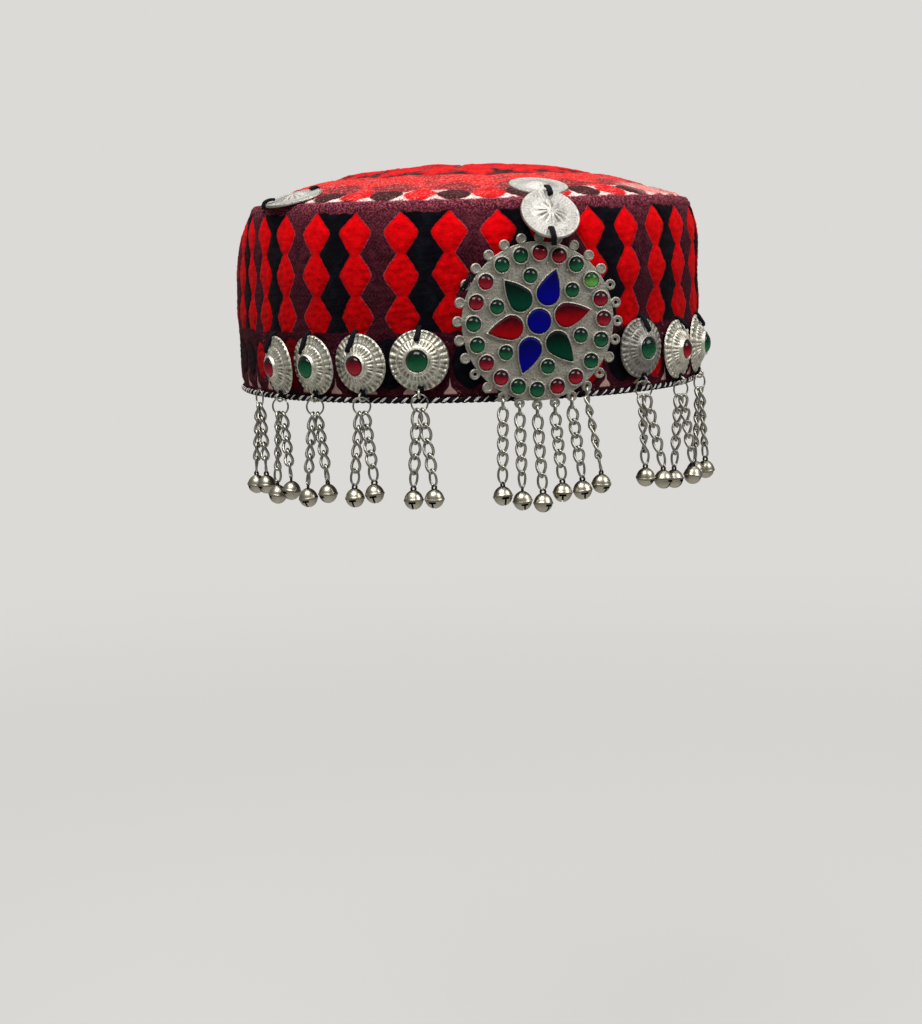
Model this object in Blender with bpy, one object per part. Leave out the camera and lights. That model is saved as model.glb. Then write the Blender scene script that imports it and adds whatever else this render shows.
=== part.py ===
"""Embroidered pillbox cap with silver medallions, coins and hanging bells.

Metres, +Z up. The front of the cap faces -Y, and azimuths are degrees from the front, positive
towards +X. The origin is the middle of the crown's underside, where the cap sits on a head.
"""
import math

import bmesh
import bpy
from mathutils import Matrix, Vector

MM = 0.001
GAP = 0.3 * MM  # left between two pieces that rest on each other

# Cap: heights are above the lower edge of the hem
WALL = 3.0 * MM
SEAM_HEIGHT = 72.0 * MM
SEAM_RADIUS = 85.2 * MM
DOME_RISE = 13.0 * MM
CAP_RADIUS = 90.2 * MM
CAP_SIDES = 40
HEM_Z = -(SEAM_HEIGHT + DOME_RISE - WALL)

# Cord along the hem
CORD_RADIUS = 1.3 * MM
CORD_CENTER_RADIUS = 88.4 * MM
CORD_SIDES = 5

# Outer line of the side band, from the hem up to the crown seam
BAND_OUTER = [
    # radius, height
    (89.0 * MM, 2 * CORD_RADIUS + GAP),
    (89.8 * MM, 12.0 * MM),
    (CAP_RADIUS, 36.0 * MM),
    (89.8 * MM, 57.0 * MM),
    (88.2 * MM, 67.0 * MM),
    (SEAM_RADIUS, SEAM_HEIGHT),
]
BAND_INNER = [
    # radius, height
    (84.2 * MM, 68.8 * MM),
    (86.9 * MM, 62.0 * MM),
    (86.2 * MM, 2 * CORD_RADIUS + GAP),
]
CROWN_RING_RADII = [66.0 * MM, 38.0 * MM]
CROWN_UNDER_RADII = [50.0 * MM]

# Central plate
PLATE_RADIUS = 28.0 * MM
PLATE_THICKNESS = 0.8 * MM
PLATE_CENTER_HEIGHT = 28.4 * MM
PLATE_BACK = CAP_RADIUS + GAP
LOOP_COUNT = 28
LOOP_TURN = 2.0
LOOP_CENTER_RADIUS = 29.7 * MM
LOOP_RADIUS = 1.75 * MM
LOOP_HOLE_RADIUS = 0.85 * MM
NECK_WIDTH = 1.8 * MM
FIRST_HANGING_LOOP = 11  # the first of the six lowest loops, which carry the drops

# Stones of the central plate
CENTER_STONE_RADIUS = 4.3 * MM
BEZEL_WALL = 0.5 * MM
BEZEL_HEIGHT = 1.1 * MM
FLAT_STONE_HEIGHT = 1.5 * MM
TABLE_INSET = 0.5 * MM
PETAL_COUNT = 6
PETAL_FIRST = 20.0
PETAL_START = 6.2 * MM
PETAL_LENGTH = 12.9 * MM
PETAL_ROUND = 4.15 * MM
BELLY_WIDTH = 0.62  # half width of the petal above its round end, in round radii
BELLY_PLACE = 0.56  # how far up towards the tip that width lies
INNER_FIRST = 50.0
INNER_RING_RADIUS = 16.4 * MM
INNER_STONE_RADIUS = 2.45 * MM
INNER_STONE_HEIGHT = 2.0 * MM
OUTER_COUNT = 20
OUTER_RING_RADIUS = 24.2 * MM
OUTER_STONE_RADIUS = 2.6 * MM
OUTER_SETTING_RADIUS = 3.1 * MM
OUTER_STONE_RISE = 1.1 * MM
CABOCHON_SIDES = 10

# Side medallions
MEDALLION_RADIUS = 10.9 * MM
MEDALLION_RIM = 0.8 * MM
MEDALLION_SIDES = 16
MEDALLION_DOME = (5.0 * MM, 3.6 * MM)  # radius and height where the dome meets the stone's collar
MEDALLION_STONE_RADIUS = 3.8 * MM
MEDALLION_STONE_HEIGHT = 2.3 * MM
MEDALLION_SEAT = 3.7 * MM
COLLAR_INNER_RADIUS = MEDALLION_STONE_RADIUS + 0.35 * MM
COLLAR_OUTER_RADIUS = MEDALLION_STONE_RADIUS + 0.8 * MM
COLLAR_HEIGHT = 0.9 * MM
EYE_RADIUS = 1.4 * MM
EYE_DROP = MEDALLION_RADIUS + 0.9 * MM
EYE_OUT = 1.6 * MM
MEDALLIONS = {
    # place: azimuth, height of the middle, turn further to the side, lean of the top away from the wall
    "left_1": (-27.1, 15.8 * MM, 0.0, 0.0),
    "left_2": (-40.8, 14.6 * MM, 9.0, 6.0),
    "left_3": (-53.6, 13.8 * MM, 10.0, 6.0),
    "left_4": (-65.4, 13.1 * MM, 11.0, 6.0),
    "right_1": (27.8, 16.5 * MM, 0.0, 0.0),
    "right_2": (43.2, 14.4 * MM, 0.0, 0.0),
    "right_3": (57.6, 15.0 * MM, 0.0, 0.0),
}

# Coins, each lying against the cap's outer line
COIN_RADIUS = 10.9 * MM
COIN_THICKNESS = 0.7 * MM
COIN_DOME = 1.6 * MM
COIN_SHOULDER = (0.5, 0.6)  # shares of the radius and of the dome's height
COIN_SIDES = 16
COINS = [
    # name, azimuth, how far its face looks up in degrees, slide up its own face
    ("coin_front", 3.4, 39.0, -8.2 * MM),
    ("coin_crown", 5.4, 75.0, -7.4 * MM),
    ("coin_left", -67.0, 74.0, 4.5 * MM),
]

# Drops: a jump ring, its chains and a jingle bell on each chain
WIRE = 0.4 * MM
RING_SLACK = 0.15 * MM  # how far a ring's wire lies below the middle of the eye or loop that holds it
PAIR_RING_RADIUS = 3.1 * MM
PAIR_RING_TURN = 30.0
SINGLE_RING_RADIUS = 2.1 * MM
CHAIN_RADIUS = 1.5 * MM
CHAIN_SPREAD = 1.6 * MM
CHAIN_TOP = 0.1 * MM  # how far a pair's chains start below the middle of the ring's wire
BELL_RADIUS = 3.5 * MM
BELL_SEAM = 0.15 * MM
BELL_SPACING = 7.6 * MM
BELL_OVERLAP = 0.5 * MM  # how far the chain's end runs into the bell
PAIR_DROPS = {
    # place: swing of the pair to the front, sideways shift, depth below the hem of the left and right bell
    "left_1": (0.0, 0.6 * MM, 34.0 * MM, 33.6 * MM),
    "left_2": (8.0, 0.0, 33.7 * MM, 32.1 * MM),
    "left_3": (24.0, 0.0, 34.6 * MM, 33.0 * MM),
    "left_4": (6.0, 0.6 * MM, 35.0 * MM, 33.0 * MM),
    "left_5": (6.0, -1.0 * MM, 33.2 * MM, 32.6 * MM),
    "right_1": (18.0, 4.0 * MM, 31.0 * MM, 32.4 * MM),
    "right_2": (41.0, 0.7 * MM, 34.3 * MM, 33.3 * MM),
    "right_3": (20.0, 0.0, 33.7 * MM, 34.2 * MM),
}
HEM_DROP_AZIMUTHS = {"left_5": -77.0}  # this one hangs on the hem cord, with no medallion above it
HEM_RING_HEIGHT = -0.05 * MM
SINGLE_DROPS = [
    # name, sideways offset of the bell from the plate's middle, depth below the hem
    ("drop_center_1", 22.6 * MM, 31.0 * MM),
    ("drop_center_2", 15.4 * MM, 32.9 * MM),
    ("drop_center_3", 7.8 * MM, 33.3 * MM),
    ("drop_center_4", 0.4 * MM, 36.6 * MM),
    ("drop_center_5", -7.3 * MM, 35.4 * MM),
    ("drop_center_6", -14.6 * MM, 33.2 * MM),
]

# Materials: colour, roughness, metallic
MATERIALS = {
    "crown_cloth": ((0.55, 0.02, 0.03), 0.85, 0.0),
    "band_cloth": ((0.30, 0.02, 0.04), 0.85, 0.0),
    "cord": ((0.02, 0.02, 0.03), 0.8, 0.0),
    "silver": ((0.62, 0.60, 0.54), 0.32, 1.0),
    "green_glass": ((0.01, 0.14, 0.06), 0.08, 0.0),
    "red_glass": ((0.35, 0.01, 0.03), 0.08, 0.0),
    "blue_glass": ((0.01, 0.01, 0.32), 0.08, 0.0),
}


def clear_scene():
    for obj in list(bpy.data.objects):
        bpy.data.objects.remove(obj, do_unlink=True)


def make_materials():
    made = {}
    for name, (colour, roughness, metallic) in MATERIALS.items():
        material = bpy.data.materials.new(name)
        material.use_nodes = True
        shader = material.node_tree.nodes["Principled BSDF"]
        shader.inputs["Base Color"].default_value = (*colour, 1.0)
        shader.inputs["Roughness"].default_value = roughness
        shader.inputs["Metallic"].default_value = metallic
        made[name] = material
    return made


def circle(radius, height, sides, turn=0.0):
    """A level ring of points; a ring of no radius is a single tip."""
    if radius == 0.0:
        return [Vector((0.0, 0.0, height))]
    points = []
    for index in range(sides):
        angle = turn + 2 * math.pi * index / sides
        points.append(Vector((radius * math.sin(angle), -radius * math.cos(angle), height)))
    return points


def skin(rings, closed=False):
    """One closed mesh through rings of points, with its open ends tipped or capped."""
    bm = bmesh.new()
    made = [[bm.verts.new(point) for point in ring] for ring in rings]
    pairs = list(zip(made, made[1:]))
    if closed:
        pairs.append((made[-1], made[0]))
    for low, high in pairs:
        count = max(len(low), len(high))
        for index in range(count):
            after = (index + 1) % count
            corners = [low[index % len(low)], low[after % len(low)]]
            corners += [high[after % len(high)], high[index % len(high)]]
            bm.faces.new(list(dict.fromkeys(corners)))
    if not closed:
        for end in (made[0], made[-1]):
            if len(end) > 2:
                bm.faces.new(end)
    bmesh.ops.recalc_face_normals(bm, faces=bm.faces)
    mesh = bpy.data.meshes.new("shape")
    bm.to_mesh(mesh)
    bm.free()
    return mesh


def turned(profile, sides, turn=0.0, closed=False):
    return skin([circle(radius, height, sides, turn) for radius, height in profile], closed)


def prism(outline, low, high):
    return skin([[Vector((x, y, z)) for x, y in outline] for z in (low, high)])


def collar(inner, outer, low, high):
    """A wall that stands along a closed outline, between its inner and its outer line."""
    lines = [(inner, low), (outer, low), (outer, high), (inner, high)]
    return skin([[Vector((x, y, z)) for x, y in line] for line, z in lines], closed=True)


def wire_ring(radius, wire, segments, sides):
    """A wire ring that lies in the XY plane."""
    profile = []
    for index in range(sides):
        angle = 2 * math.pi * index / sides
        profile.append((radius + wire * math.cos(angle), wire * math.sin(angle)))
    return turned(profile, segments, math.pi / segments, closed=True)


def cord_tube(points, radius):
    """A round tube with filled ends along a few points."""
    curve = bpy.data.curves.new("tube", "CURVE")
    curve.dimensions = "3D"
    curve.bevel_depth = radius
    curve.bevel_resolution = 2
    curve.use_fill_caps = True
    spline = curve.splines.new("POLY")
    spline.points.add(len(points) - 1)
    for point, place in zip(spline.points, points):
        point.co = (*place, 1.0)
    obj = bpy.data.objects.new("tube", curve)
    bpy.context.scene.collection.objects.link(obj)
    mesh = bpy.data.meshes.new_from_object(obj)
    bpy.data.objects.remove(obj, do_unlink=True)
    return mesh


def placed(mesh, matrix):
    mesh.transform(matrix)
    return mesh


def combine(meshes, operation="UNION"):
    """The first mesh with each of the others fused to it or cut from it."""
    scene = bpy.context.scene
    objects = []
    for mesh in meshes:
        obj = bpy.data.objects.new("working", mesh)
        scene.collection.objects.link(obj)
        objects.append(obj)
    for other in objects[1:]:
        modifier = objects[0].modifiers.new("combine", "BOOLEAN")
        modifier.operation = operation
        modifier.solver = "EXACT"
        modifier.object = other
    graph = bpy.context.evaluated_depsgraph_get()
    result = bpy.data.meshes.new_from_object(objects[0].evaluated_get(graph))
    for obj in objects:
        bpy.data.objects.remove(obj, do_unlink=True)
    return result


def joined(meshes):
    """Meshes that don't touch each other, held in one."""
    bm = bmesh.new()
    for mesh in meshes:
        bm.from_mesh(mesh)
    mesh = bpy.data.meshes.new("shapes")
    bm.to_mesh(mesh)
    bm.free()
    return mesh


def add_piece(name, mesh, material, matrix=None):
    obj = bpy.data.objects.new(name, mesh)
    bpy.context.scene.collection.objects.link(obj)
    if not mesh.materials:
        mesh.materials.append(material)
    mesh.shade_smooth()
    mesh.set_sharp_from_angle(angle=math.radians(40.0))
    if matrix is not None:
        obj.matrix_world = matrix
    return obj


def wall_frame(azimuth, radius, height):
    """Local X runs to the right along the wall, Y up and Z out of it; height is above the hem."""
    angle = math.radians(azimuth)
    right = Vector((math.cos(angle), math.sin(angle), 0.0))
    out = Vector((math.sin(angle), -math.cos(angle), 0.0))
    place = out * radius + Vector((0.0, 0.0, HEM_Z + height))
    matrix = Matrix((right, Vector((0.0, 0.0, 1.0)), out)).transposed().to_4x4()
    matrix.translation = place
    return matrix


def dome_height(radius):
    """Height of the crown's upper face above the hem."""
    return SEAM_HEIGHT + DOME_RISE * (1.0 - (radius / SEAM_RADIUS) ** 2)


def crown_line():
    """The crown's upper face from its edge to its middle, as radius and height."""
    edge = SEAM_RADIUS - GAP
    return [(radius, dome_height(radius)) for radius in [edge, *CROWN_RING_RADII, 0.0]]


def build_cloth(materials):
    band = [(radius, HEM_Z + height) for radius, height in BAND_OUTER + BAND_INNER]
    add_piece("side_band", turned(band, CAP_SIDES, closed=True), materials["band_cloth"])

    upper = [(radius, HEM_Z + height) for radius, height in crown_line()]
    inner_edge = BAND_INNER[0][0] - GAP
    under_radii = [inner_edge, *CROWN_UNDER_RADII, 0.0]
    under = [(radius, HEM_Z + dome_height(radius) - WALL) for radius in under_radii]
    add_piece("crown", turned(upper[::-1] + under, CAP_SIDES), materials["crown_cloth"])


def build_hem_cord(materials):
    profile = []
    for index in range(CORD_SIDES):
        angle = 2 * math.pi * index / CORD_SIDES
        radius = CORD_CENTER_RADIUS + CORD_RADIUS * math.sin(angle)
        profile.append((radius, HEM_Z + CORD_RADIUS + CORD_RADIUS * math.cos(angle)))
    add_piece("hem_cord", turned(profile, CAP_SIDES, closed=True), materials["cord"])


def polar(radius, clock_angle):
    """A point of the plate by its distance from the middle and its clockwise angle from the top."""
    angle = math.radians(clock_angle)
    return radius * math.sin(angle), radius * math.cos(angle)


def loop_angle(index):
    return LOOP_TURN + 360.0 * index / LOOP_COUNT


def plate_outline():
    """The plate's edge: a disc with a small round loop on a short neck at each loop angle."""
    half_neck = math.degrees(NECK_WIDTH / 2 / PLATE_RADIUS)
    points = []
    for index in range(LOOP_COUNT):
        turn = loop_angle(index)
        x, y = polar(LOOP_CENTER_RADIUS, turn)
        points.append(polar(PLATE_RADIUS, turn - half_neck))
        for swing in (-112.0, -40.0, 40.0, 112.0):
            dx, dy = polar(LOOP_RADIUS, turn + swing)
            points.append((x + dx, y + dy))
        points.append(polar(PLATE_RADIUS, turn + half_neck))
    return points


def petal_outline(clock_angle, grow=0.0):
    """A drop shape with its round end to the middle and its tip outwards."""
    round_radius = PETAL_ROUND + grow
    center = PETAL_START + PETAL_ROUND
    tip = PETAL_START + PETAL_LENGTH + 1.6 * grow
    line = [(0.0, tip)]
    belly = (BELLY_WIDTH * round_radius, center + BELLY_PLACE * (tip - center))
    line.append(belly)
    for swing in (80.0, 115.0, 150.0, 180.0, 210.0, 245.0, 280.0):
        dx, dy = polar(round_radius, swing)
        line.append((dx, center + dy))
    line.append((-belly[0], belly[1]))
    angle = math.radians(clock_angle)
    return [(x * math.cos(angle) + y * math.sin(angle), y * math.cos(angle) - x * math.sin(angle))
            for x, y in line]


def ring_outline(radius, x=0.0, y=0.0):
    return [(x + point.x, y + point.y) for point in circle(radius, 0.0, CABOCHON_SIDES)]


def petal_angle(index):
    return PETAL_FIRST + 360.0 * index / PETAL_COUNT


def inner_stone_place(index):
    return polar(INNER_RING_RADIUS, INNER_FIRST + 360.0 * index / PETAL_COUNT)


def plate_settings():
    """Raised collars round the large stones, and the small outer cabochons."""
    sunk = PLATE_THICKNESS / 2
    top = PLATE_THICKNESS + BEZEL_HEIGHT
    shapes = []
    room = GAP + BEZEL_WALL
    center = CENTER_STONE_RADIUS
    shapes.append(collar(ring_outline(center + GAP), ring_outline(center + room), sunk, top))
    for index in range(PETAL_COUNT):
        turn = petal_angle(index)
        shapes.append(collar(petal_outline(turn, GAP), petal_outline(turn, room), sunk, top))
        x, y = inner_stone_place(index)
        inside = ring_outline(INNER_STONE_RADIUS + GAP, x, y)
        shapes.append(collar(inside, ring_outline(INNER_STONE_RADIUS + room, x, y), sunk, top))
    for index in range(OUTER_COUNT):
        x, y = polar(OUTER_RING_RADIUS, LOOP_TURN + 360.0 * index / OUTER_COUNT)
        dome = [(OUTER_SETTING_RADIUS, sunk), (OUTER_STONE_RADIUS, top), (0.0, top + OUTER_STONE_RISE)]
        shapes.append(placed(turned(dome, CABOCHON_SIDES), Matrix.Translation((x, y, 0.0))))
    return joined(shapes)


def cabochon(radius, base, height):
    """A domed stone standing on its flat base."""
    profile = [(radius, base), (0.8 * radius, base + 0.62 * height), (0.0, base + height)]
    return turned(profile, CABOCHON_SIDES)


def flat_stone(outline, inset_outline):
    """A flat glass stone with a bevelled edge round its table."""
    low = PLATE_THICKNESS + GAP
    girdle = low + 0.6 * FLAT_STONE_HEIGHT
    lines = [(outline, low), (outline, girdle), (inset_outline, low + FLAT_STONE_HEIGHT)]
    return skin([[Vector((x, y, z)) for x, y in line] for line, z in lines])


def build_plate(materials):
    frame = wall_frame(0.0, PLATE_BACK, PLATE_CENTER_HEIGHT)
    solid = combine([prism(plate_outline(), 0.0, PLATE_THICKNESS), plate_settings()])
    holes = []
    for index in range(FIRST_HANGING_LOOP, FIRST_HANGING_LOOP + len(SINGLE_DROPS)):
        x, y = polar(LOOP_CENTER_RADIUS, loop_angle(index))
        hole = turned([(LOOP_HOLE_RADIUS, -PLATE_THICKNESS), (LOOP_HOLE_RADIUS, 2 * PLATE_THICKNESS)], 8)
        holes.append(placed(hole, Matrix.Translation((x, y, 0.0))))
    solid = combine([solid, joined(holes)], "DIFFERENCE")
    add_piece("center_plate", solid, materials["silver"], frame)

    table = ring_outline(CENTER_STONE_RADIUS - TABLE_INSET)
    stone = flat_stone(ring_outline(CENTER_STONE_RADIUS), table)
    add_piece("center_stone", stone, materials["blue_glass"], frame)
    glasses = ["blue_glass", "red_glass", "green_glass"]
    for index in range(PETAL_COUNT):
        turn = petal_angle(index)
        stone = flat_stone(petal_outline(turn), petal_outline(turn, -TABLE_INSET))
        add_piece(f"petal_stone_{index + 1}", stone, materials[glasses[index % 3]], frame)
    for index in range(PETAL_COUNT):
        x, y = inner_stone_place(index)
        stone = cabochon(INNER_STONE_RADIUS, PLATE_THICKNESS + GAP, INNER_STONE_HEIGHT)
        placed(stone, Matrix.Translation((x, y, 0.0)))
        add_piece(f"inner_stone_{index + 1}", stone, materials["green_glass"], frame)


def medallion_mesh():
    """A domed disc with a collar for its stone and a wire eye standing at its foot."""
    top = MEDALLION_SEAT + COLLAR_HEIGHT
    profile = [
        (MEDALLION_RADIUS, 0.0),
        (MEDALLION_RADIUS, MEDALLION_RIM),
        MEDALLION_DOME,
        (COLLAR_OUTER_RADIUS, top),
        (COLLAR_INNER_RADIUS, top),
        (COLLAR_INNER_RADIUS, MEDALLION_SEAT),
    ]
    eye = placed(wire_ring(EYE_RADIUS, WIRE, 6, 5), Matrix.Rotation(math.pi / 2, 4, "Y"))
    placed(eye, Matrix.Translation((0.0, -EYE_DROP, EYE_OUT)))
    return combine([turned(profile, MEDALLION_SIDES, math.pi / MEDALLION_SIDES), eye])


def medallion_frame(azimuth, height, turn, lean):
    """The disc turns and leans about its eye, whose place the drop shares."""
    eye = Matrix.Translation((0.0, -EYE_DROP, EYE_OUT))
    aside = Matrix.Rotation(math.copysign(math.radians(turn), azimuth), 4, "Y")
    forward = Matrix.Rotation(math.radians(lean), 4, "X")
    return wall_frame(azimuth, PLATE_BACK, height) @ eye @ aside @ forward @ eye.inverted()


def build_medallions(materials):
    disc = medallion_mesh()
    stones = {}
    for glass in ("green_glass", "red_glass"):
        stones[glass] = cabochon(MEDALLION_STONE_RADIUS, MEDALLION_SEAT + GAP, MEDALLION_STONE_HEIGHT)
    for place, row in MEDALLIONS.items():
        frame = medallion_frame(*row)
        add_piece(f"medallion_{place}", disc, materials["silver"], frame)
        glass = "green_glass" if place[-1] in "13" else "red_glass"
        add_piece(f"medallion_stone_{place}", stones[glass], materials[glass], frame)


def coin_frame(azimuth, lean, slide):
    """Against the cap's outer line: the face looks up by lean, and slide moves it up its face."""
    facing = (math.cos(math.radians(lean)), math.sin(math.radians(lean)))
    line = BAND_OUTER + crown_line()
    touch = max(line, key=lambda point: point[0] * facing[0] + point[1] * facing[1])
    radius = touch[0] + GAP * facing[0] - slide * facing[1]
    height = touch[1] + GAP * facing[1] + slide * facing[0]
    return wall_frame(azimuth, radius, height) @ Matrix.Rotation(-math.radians(lean), 4, "X")


def build_coins(materials):
    profile = [
        (COIN_RADIUS, 0.0),
        (COIN_RADIUS, COIN_THICKNESS),
        (COIN_SHOULDER[0] * COIN_RADIUS, COIN_THICKNESS + COIN_SHOULDER[1] * COIN_DOME),
        (0.0, COIN_THICKNESS + COIN_DOME),
    ]
    disc = turned(profile, COIN_SIDES)
    for name, azimuth, lean, slide in COINS:
        add_piece(name, disc, materials["silver"], coin_frame(azimuth, lean, slide))


def bell(center):
    """A round jingle bell with a seam round its middle."""
    half = BELL_RADIUS * math.sqrt(0.5)
    seam = BELL_RADIUS + BELL_SEAM
    profile = [(0.0, -BELL_RADIUS), (half, -half), (seam, 0.0), (half, half), (0.0, BELL_RADIUS)]
    upright = Matrix.Rotation(-math.pi / 2, 4, "X")
    return placed(turned(profile, CABOCHON_SIDES), Matrix.Translation(center) @ upright)


def chain_with_bell(top, bell_center):
    """A chain's tube from the ring's foot to the bell's top, and the bell."""
    end = bell_center + Vector((0.0, BELL_RADIUS - BELL_OVERLAP, 0.0))
    return [cord_tube([top, end], CHAIN_RADIUS), bell(bell_center)]


def pair_place(place):
    """Azimuth, distance from the axis and height of the ring that carries a pair of chains."""
    if place in HEM_DROP_AZIMUTHS:
        return HEM_DROP_AZIMUTHS[place], CORD_CENTER_RADIUS + CORD_RADIUS + GAP + WIRE, HEM_RING_HEIGHT
    azimuth, height, _, _ = MEDALLIONS[place]
    return azimuth, PLATE_BACK + EYE_OUT, height - EYE_DROP - RING_SLACK - PAIR_RING_RADIUS


def build_pair_drops(materials):
    """Two chains with bells on one ring; the ring hangs in a medallion's eye or on the hem."""
    for name, (swing, shift, left_depth, right_depth) in PAIR_DROPS.items():
        azimuth, radius, ring_height = pair_place(name)
        turn = 0.0 if name in HEM_DROP_AZIMUTHS else PAIR_RING_TURN
        ring_turn = Matrix.Rotation(math.copysign(math.radians(turn), -azimuth), 4, "Y")
        swung = Matrix.Rotation(math.copysign(math.radians(swing), -azimuth), 4, "Y")
        foot = Vector((0.0, -PAIR_RING_RADIUS - CHAIN_TOP, 0.0))
        shapes = [placed(wire_ring(PAIR_RING_RADIUS, WIRE, 10, 5), ring_turn)]
        for side, depth in ((-1, left_depth), (1, right_depth)):
            top = foot + Vector((side * CHAIN_SPREAD, 0.0, 0.0))
            place = swung @ Vector((shift + side * BELL_SPACING / 2, -depth - ring_height, 0.0))
            shapes += chain_with_bell(top, place)
        frame = wall_frame(azimuth, radius, ring_height)
        add_piece(f"drop_{name}", combine(shapes), materials["silver"], frame)


def build_single_drops(materials):
    """One chain with a bell from each of the plate's six lowest loops."""
    for order, (name, offset, depth) in enumerate(SINGLE_DROPS):
        x, y = polar(LOOP_CENTER_RADIUS, loop_angle(FIRST_HANGING_LOOP + order))
        ring_height = PLATE_CENTER_HEIGHT + y - RING_SLACK - SINGLE_RING_RADIUS
        out = PLATE_BACK + PLATE_THICKNESS / 2
        ring = placed(wire_ring(SINGLE_RING_RADIUS, WIRE, 10, 5), Matrix.Rotation(math.pi / 2, 4, "Y"))
        foot = Vector((0.0, -SINGLE_RING_RADIUS, 0.0))
        place = Vector((offset - x, -depth - ring_height, 0.0))
        shapes = [ring] + chain_with_bell(foot, place)
        frame = wall_frame(0.0, out, ring_height) @ Matrix.Translation((x, 0.0, 0.0))
        add_piece(name, combine(shapes), materials["silver"], frame)


def build_cap():
    clear_scene()
    materials = make_materials()
    build_cloth(materials)
    build_hem_cord(materials)
    build_plate(materials)
    build_medallions(materials)
    build_coins(materials)
    build_pair_drops(materials)
    build_single_drops(materials)


build_cap()
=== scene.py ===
"""Looks of the embroidered cap: cloth with its stitched patterns, silver work, glass stones and drops.

Metres, +Z up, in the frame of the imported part. The front faces -Y, and azimuths are degrees from the
front, positive towards +X. Heights are above the lower edge of the hem.
"""
import math
import random

import bpy
import numpy as np
from mathutils import Matrix, Vector


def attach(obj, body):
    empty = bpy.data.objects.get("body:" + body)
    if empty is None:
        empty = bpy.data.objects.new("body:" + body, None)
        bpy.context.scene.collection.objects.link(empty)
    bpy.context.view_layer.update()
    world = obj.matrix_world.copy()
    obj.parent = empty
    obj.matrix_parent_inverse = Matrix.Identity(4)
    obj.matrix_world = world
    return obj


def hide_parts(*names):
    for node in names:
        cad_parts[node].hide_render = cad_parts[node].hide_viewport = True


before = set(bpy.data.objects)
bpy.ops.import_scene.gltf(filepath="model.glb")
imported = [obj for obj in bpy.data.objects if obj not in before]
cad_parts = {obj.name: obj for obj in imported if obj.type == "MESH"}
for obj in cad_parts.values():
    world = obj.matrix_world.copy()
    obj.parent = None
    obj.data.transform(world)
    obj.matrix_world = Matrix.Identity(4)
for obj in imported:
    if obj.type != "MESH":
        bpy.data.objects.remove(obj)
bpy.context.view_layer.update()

MM = 0.001

CURVE_STEPS = 24  # straight pieces between two given points of a smooth line

# The cap's own sizes, as in the part
SEAM_HEIGHT = 72.0 * MM
SEAM_RADIUS = 85.2 * MM
DOME_RISE = 13.0 * MM
WALL = 3.0 * MM
HEM_Z = -(SEAM_HEIGHT + DOME_RISE - WALL)
CORD_RADIUS = 1.3 * MM
CORD_CENTER_RADIUS = 88.4 * MM
PLATE_BACK = 90.5 * MM

# Side band: its outer line, up and over the rolled top edge, then down inside
BAND_OUTER = [
    # radius, height
    (88.7 * MM, 2.2 * MM),
    (89.3 * MM, 12.0 * MM),
    (89.7 * MM, 36.0 * MM),
    (89.3 * MM, 57.0 * MM),
    (88.1 * MM, 66.0 * MM),
    (86.9 * MM, 69.8 * MM),
    (85.6 * MM, 71.7 * MM),
    (84.9 * MM, 71.9 * MM),
]
BAND_INNER = [
    # radius, height
    (84.5 * MM, 70.6 * MM),
    (84.3 * MM, 68.9 * MM),
    (86.9 * MM, 62.0 * MM),
    (86.3 * MM, 30.0 * MM),
    (86.2 * MM, 3.2 * MM),
    (87.2 * MM, 2.2 * MM),
]
BAND_COLUMNS = 720
BAND_ROWS = 96
BAND_INNER_ROWS = 12

# Embroidery of the side band
RED_PERIOD = 11.25  # degrees from one red column to the next
RED_FIRST = 2.9
BORDER_EDGE = 68.0
ROW_TOP = 68.4
ROW_HEIGHT = 15.0
ROW_BOTTOM = 25.4
WIDE = 0.370  # half width of a red diamond, in periods
NARROW = 0.100  # half width of a red column where two diamonds join
ROUNDNESS = 1.22  # 1 for straight sides of the diamonds, more for round ones
TOP_POINT = 0.095  # how much narrower the columns end under the border
CROWDED = [
    # azimuth, spread and size, in degrees, of a shift of the hand-worked columns
    (-88.0, 16.5, 9.5),
    (-112.0, 14.0, 2.6),
    (42.0, 15.0, -1.8),
]
MOTIF_CROWDED = (36.0, 9.0, 4.4)
MOTIF_PERIOD = 360.0 / 19
MOTIF_FIRST = -15.6
MOTIF_HEIGHT = 14.2
MOTIF_HALF_WIDTH = 0.225
MOTIF_HALF_HEIGHT = 9.4
MOTIF_SHRINK = 0.42  # how much lower the crowded motifs at the left are
COLUMN_WIDTH = 17.7  # mm of cloth in one period of the red columns
PUFF = 0.45 * MM
SLUMPS = [
    # azimuth, spread in degrees, how far the top edge has slumped inwards and down
    (-112.0, 32.0, 5.4 * MM, 1.2 * MM),
    (-77.0, 11.0, -3.0 * MM, 0.0),
    (74.0, 27.0, 0.3 * MM, 1.5 * MM),
]
SWELL_AZIMUTH = 78.0  # where the wall swells a little
SWELL_SPREAD = 30.0
SWELL = 0.7 * MM

# Crown
CROWN_EDGE = 84.7 * MM
CROWN_MIDDLE = 0.25 * MM
CROWN_UNDER_EDGE = 83.8 * MM
CROWN_SECTORS = 480
CROWN_RINGS = 84
PETAL_PERIOD = 18.0
LOZENGE_PERIOD = 24.0
LOZENGE_FIRST = -8.0
OVAL_FIRST = -9.6
OVAL_RADIUS = 78.6
OVAL_HALF = 5.3

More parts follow.
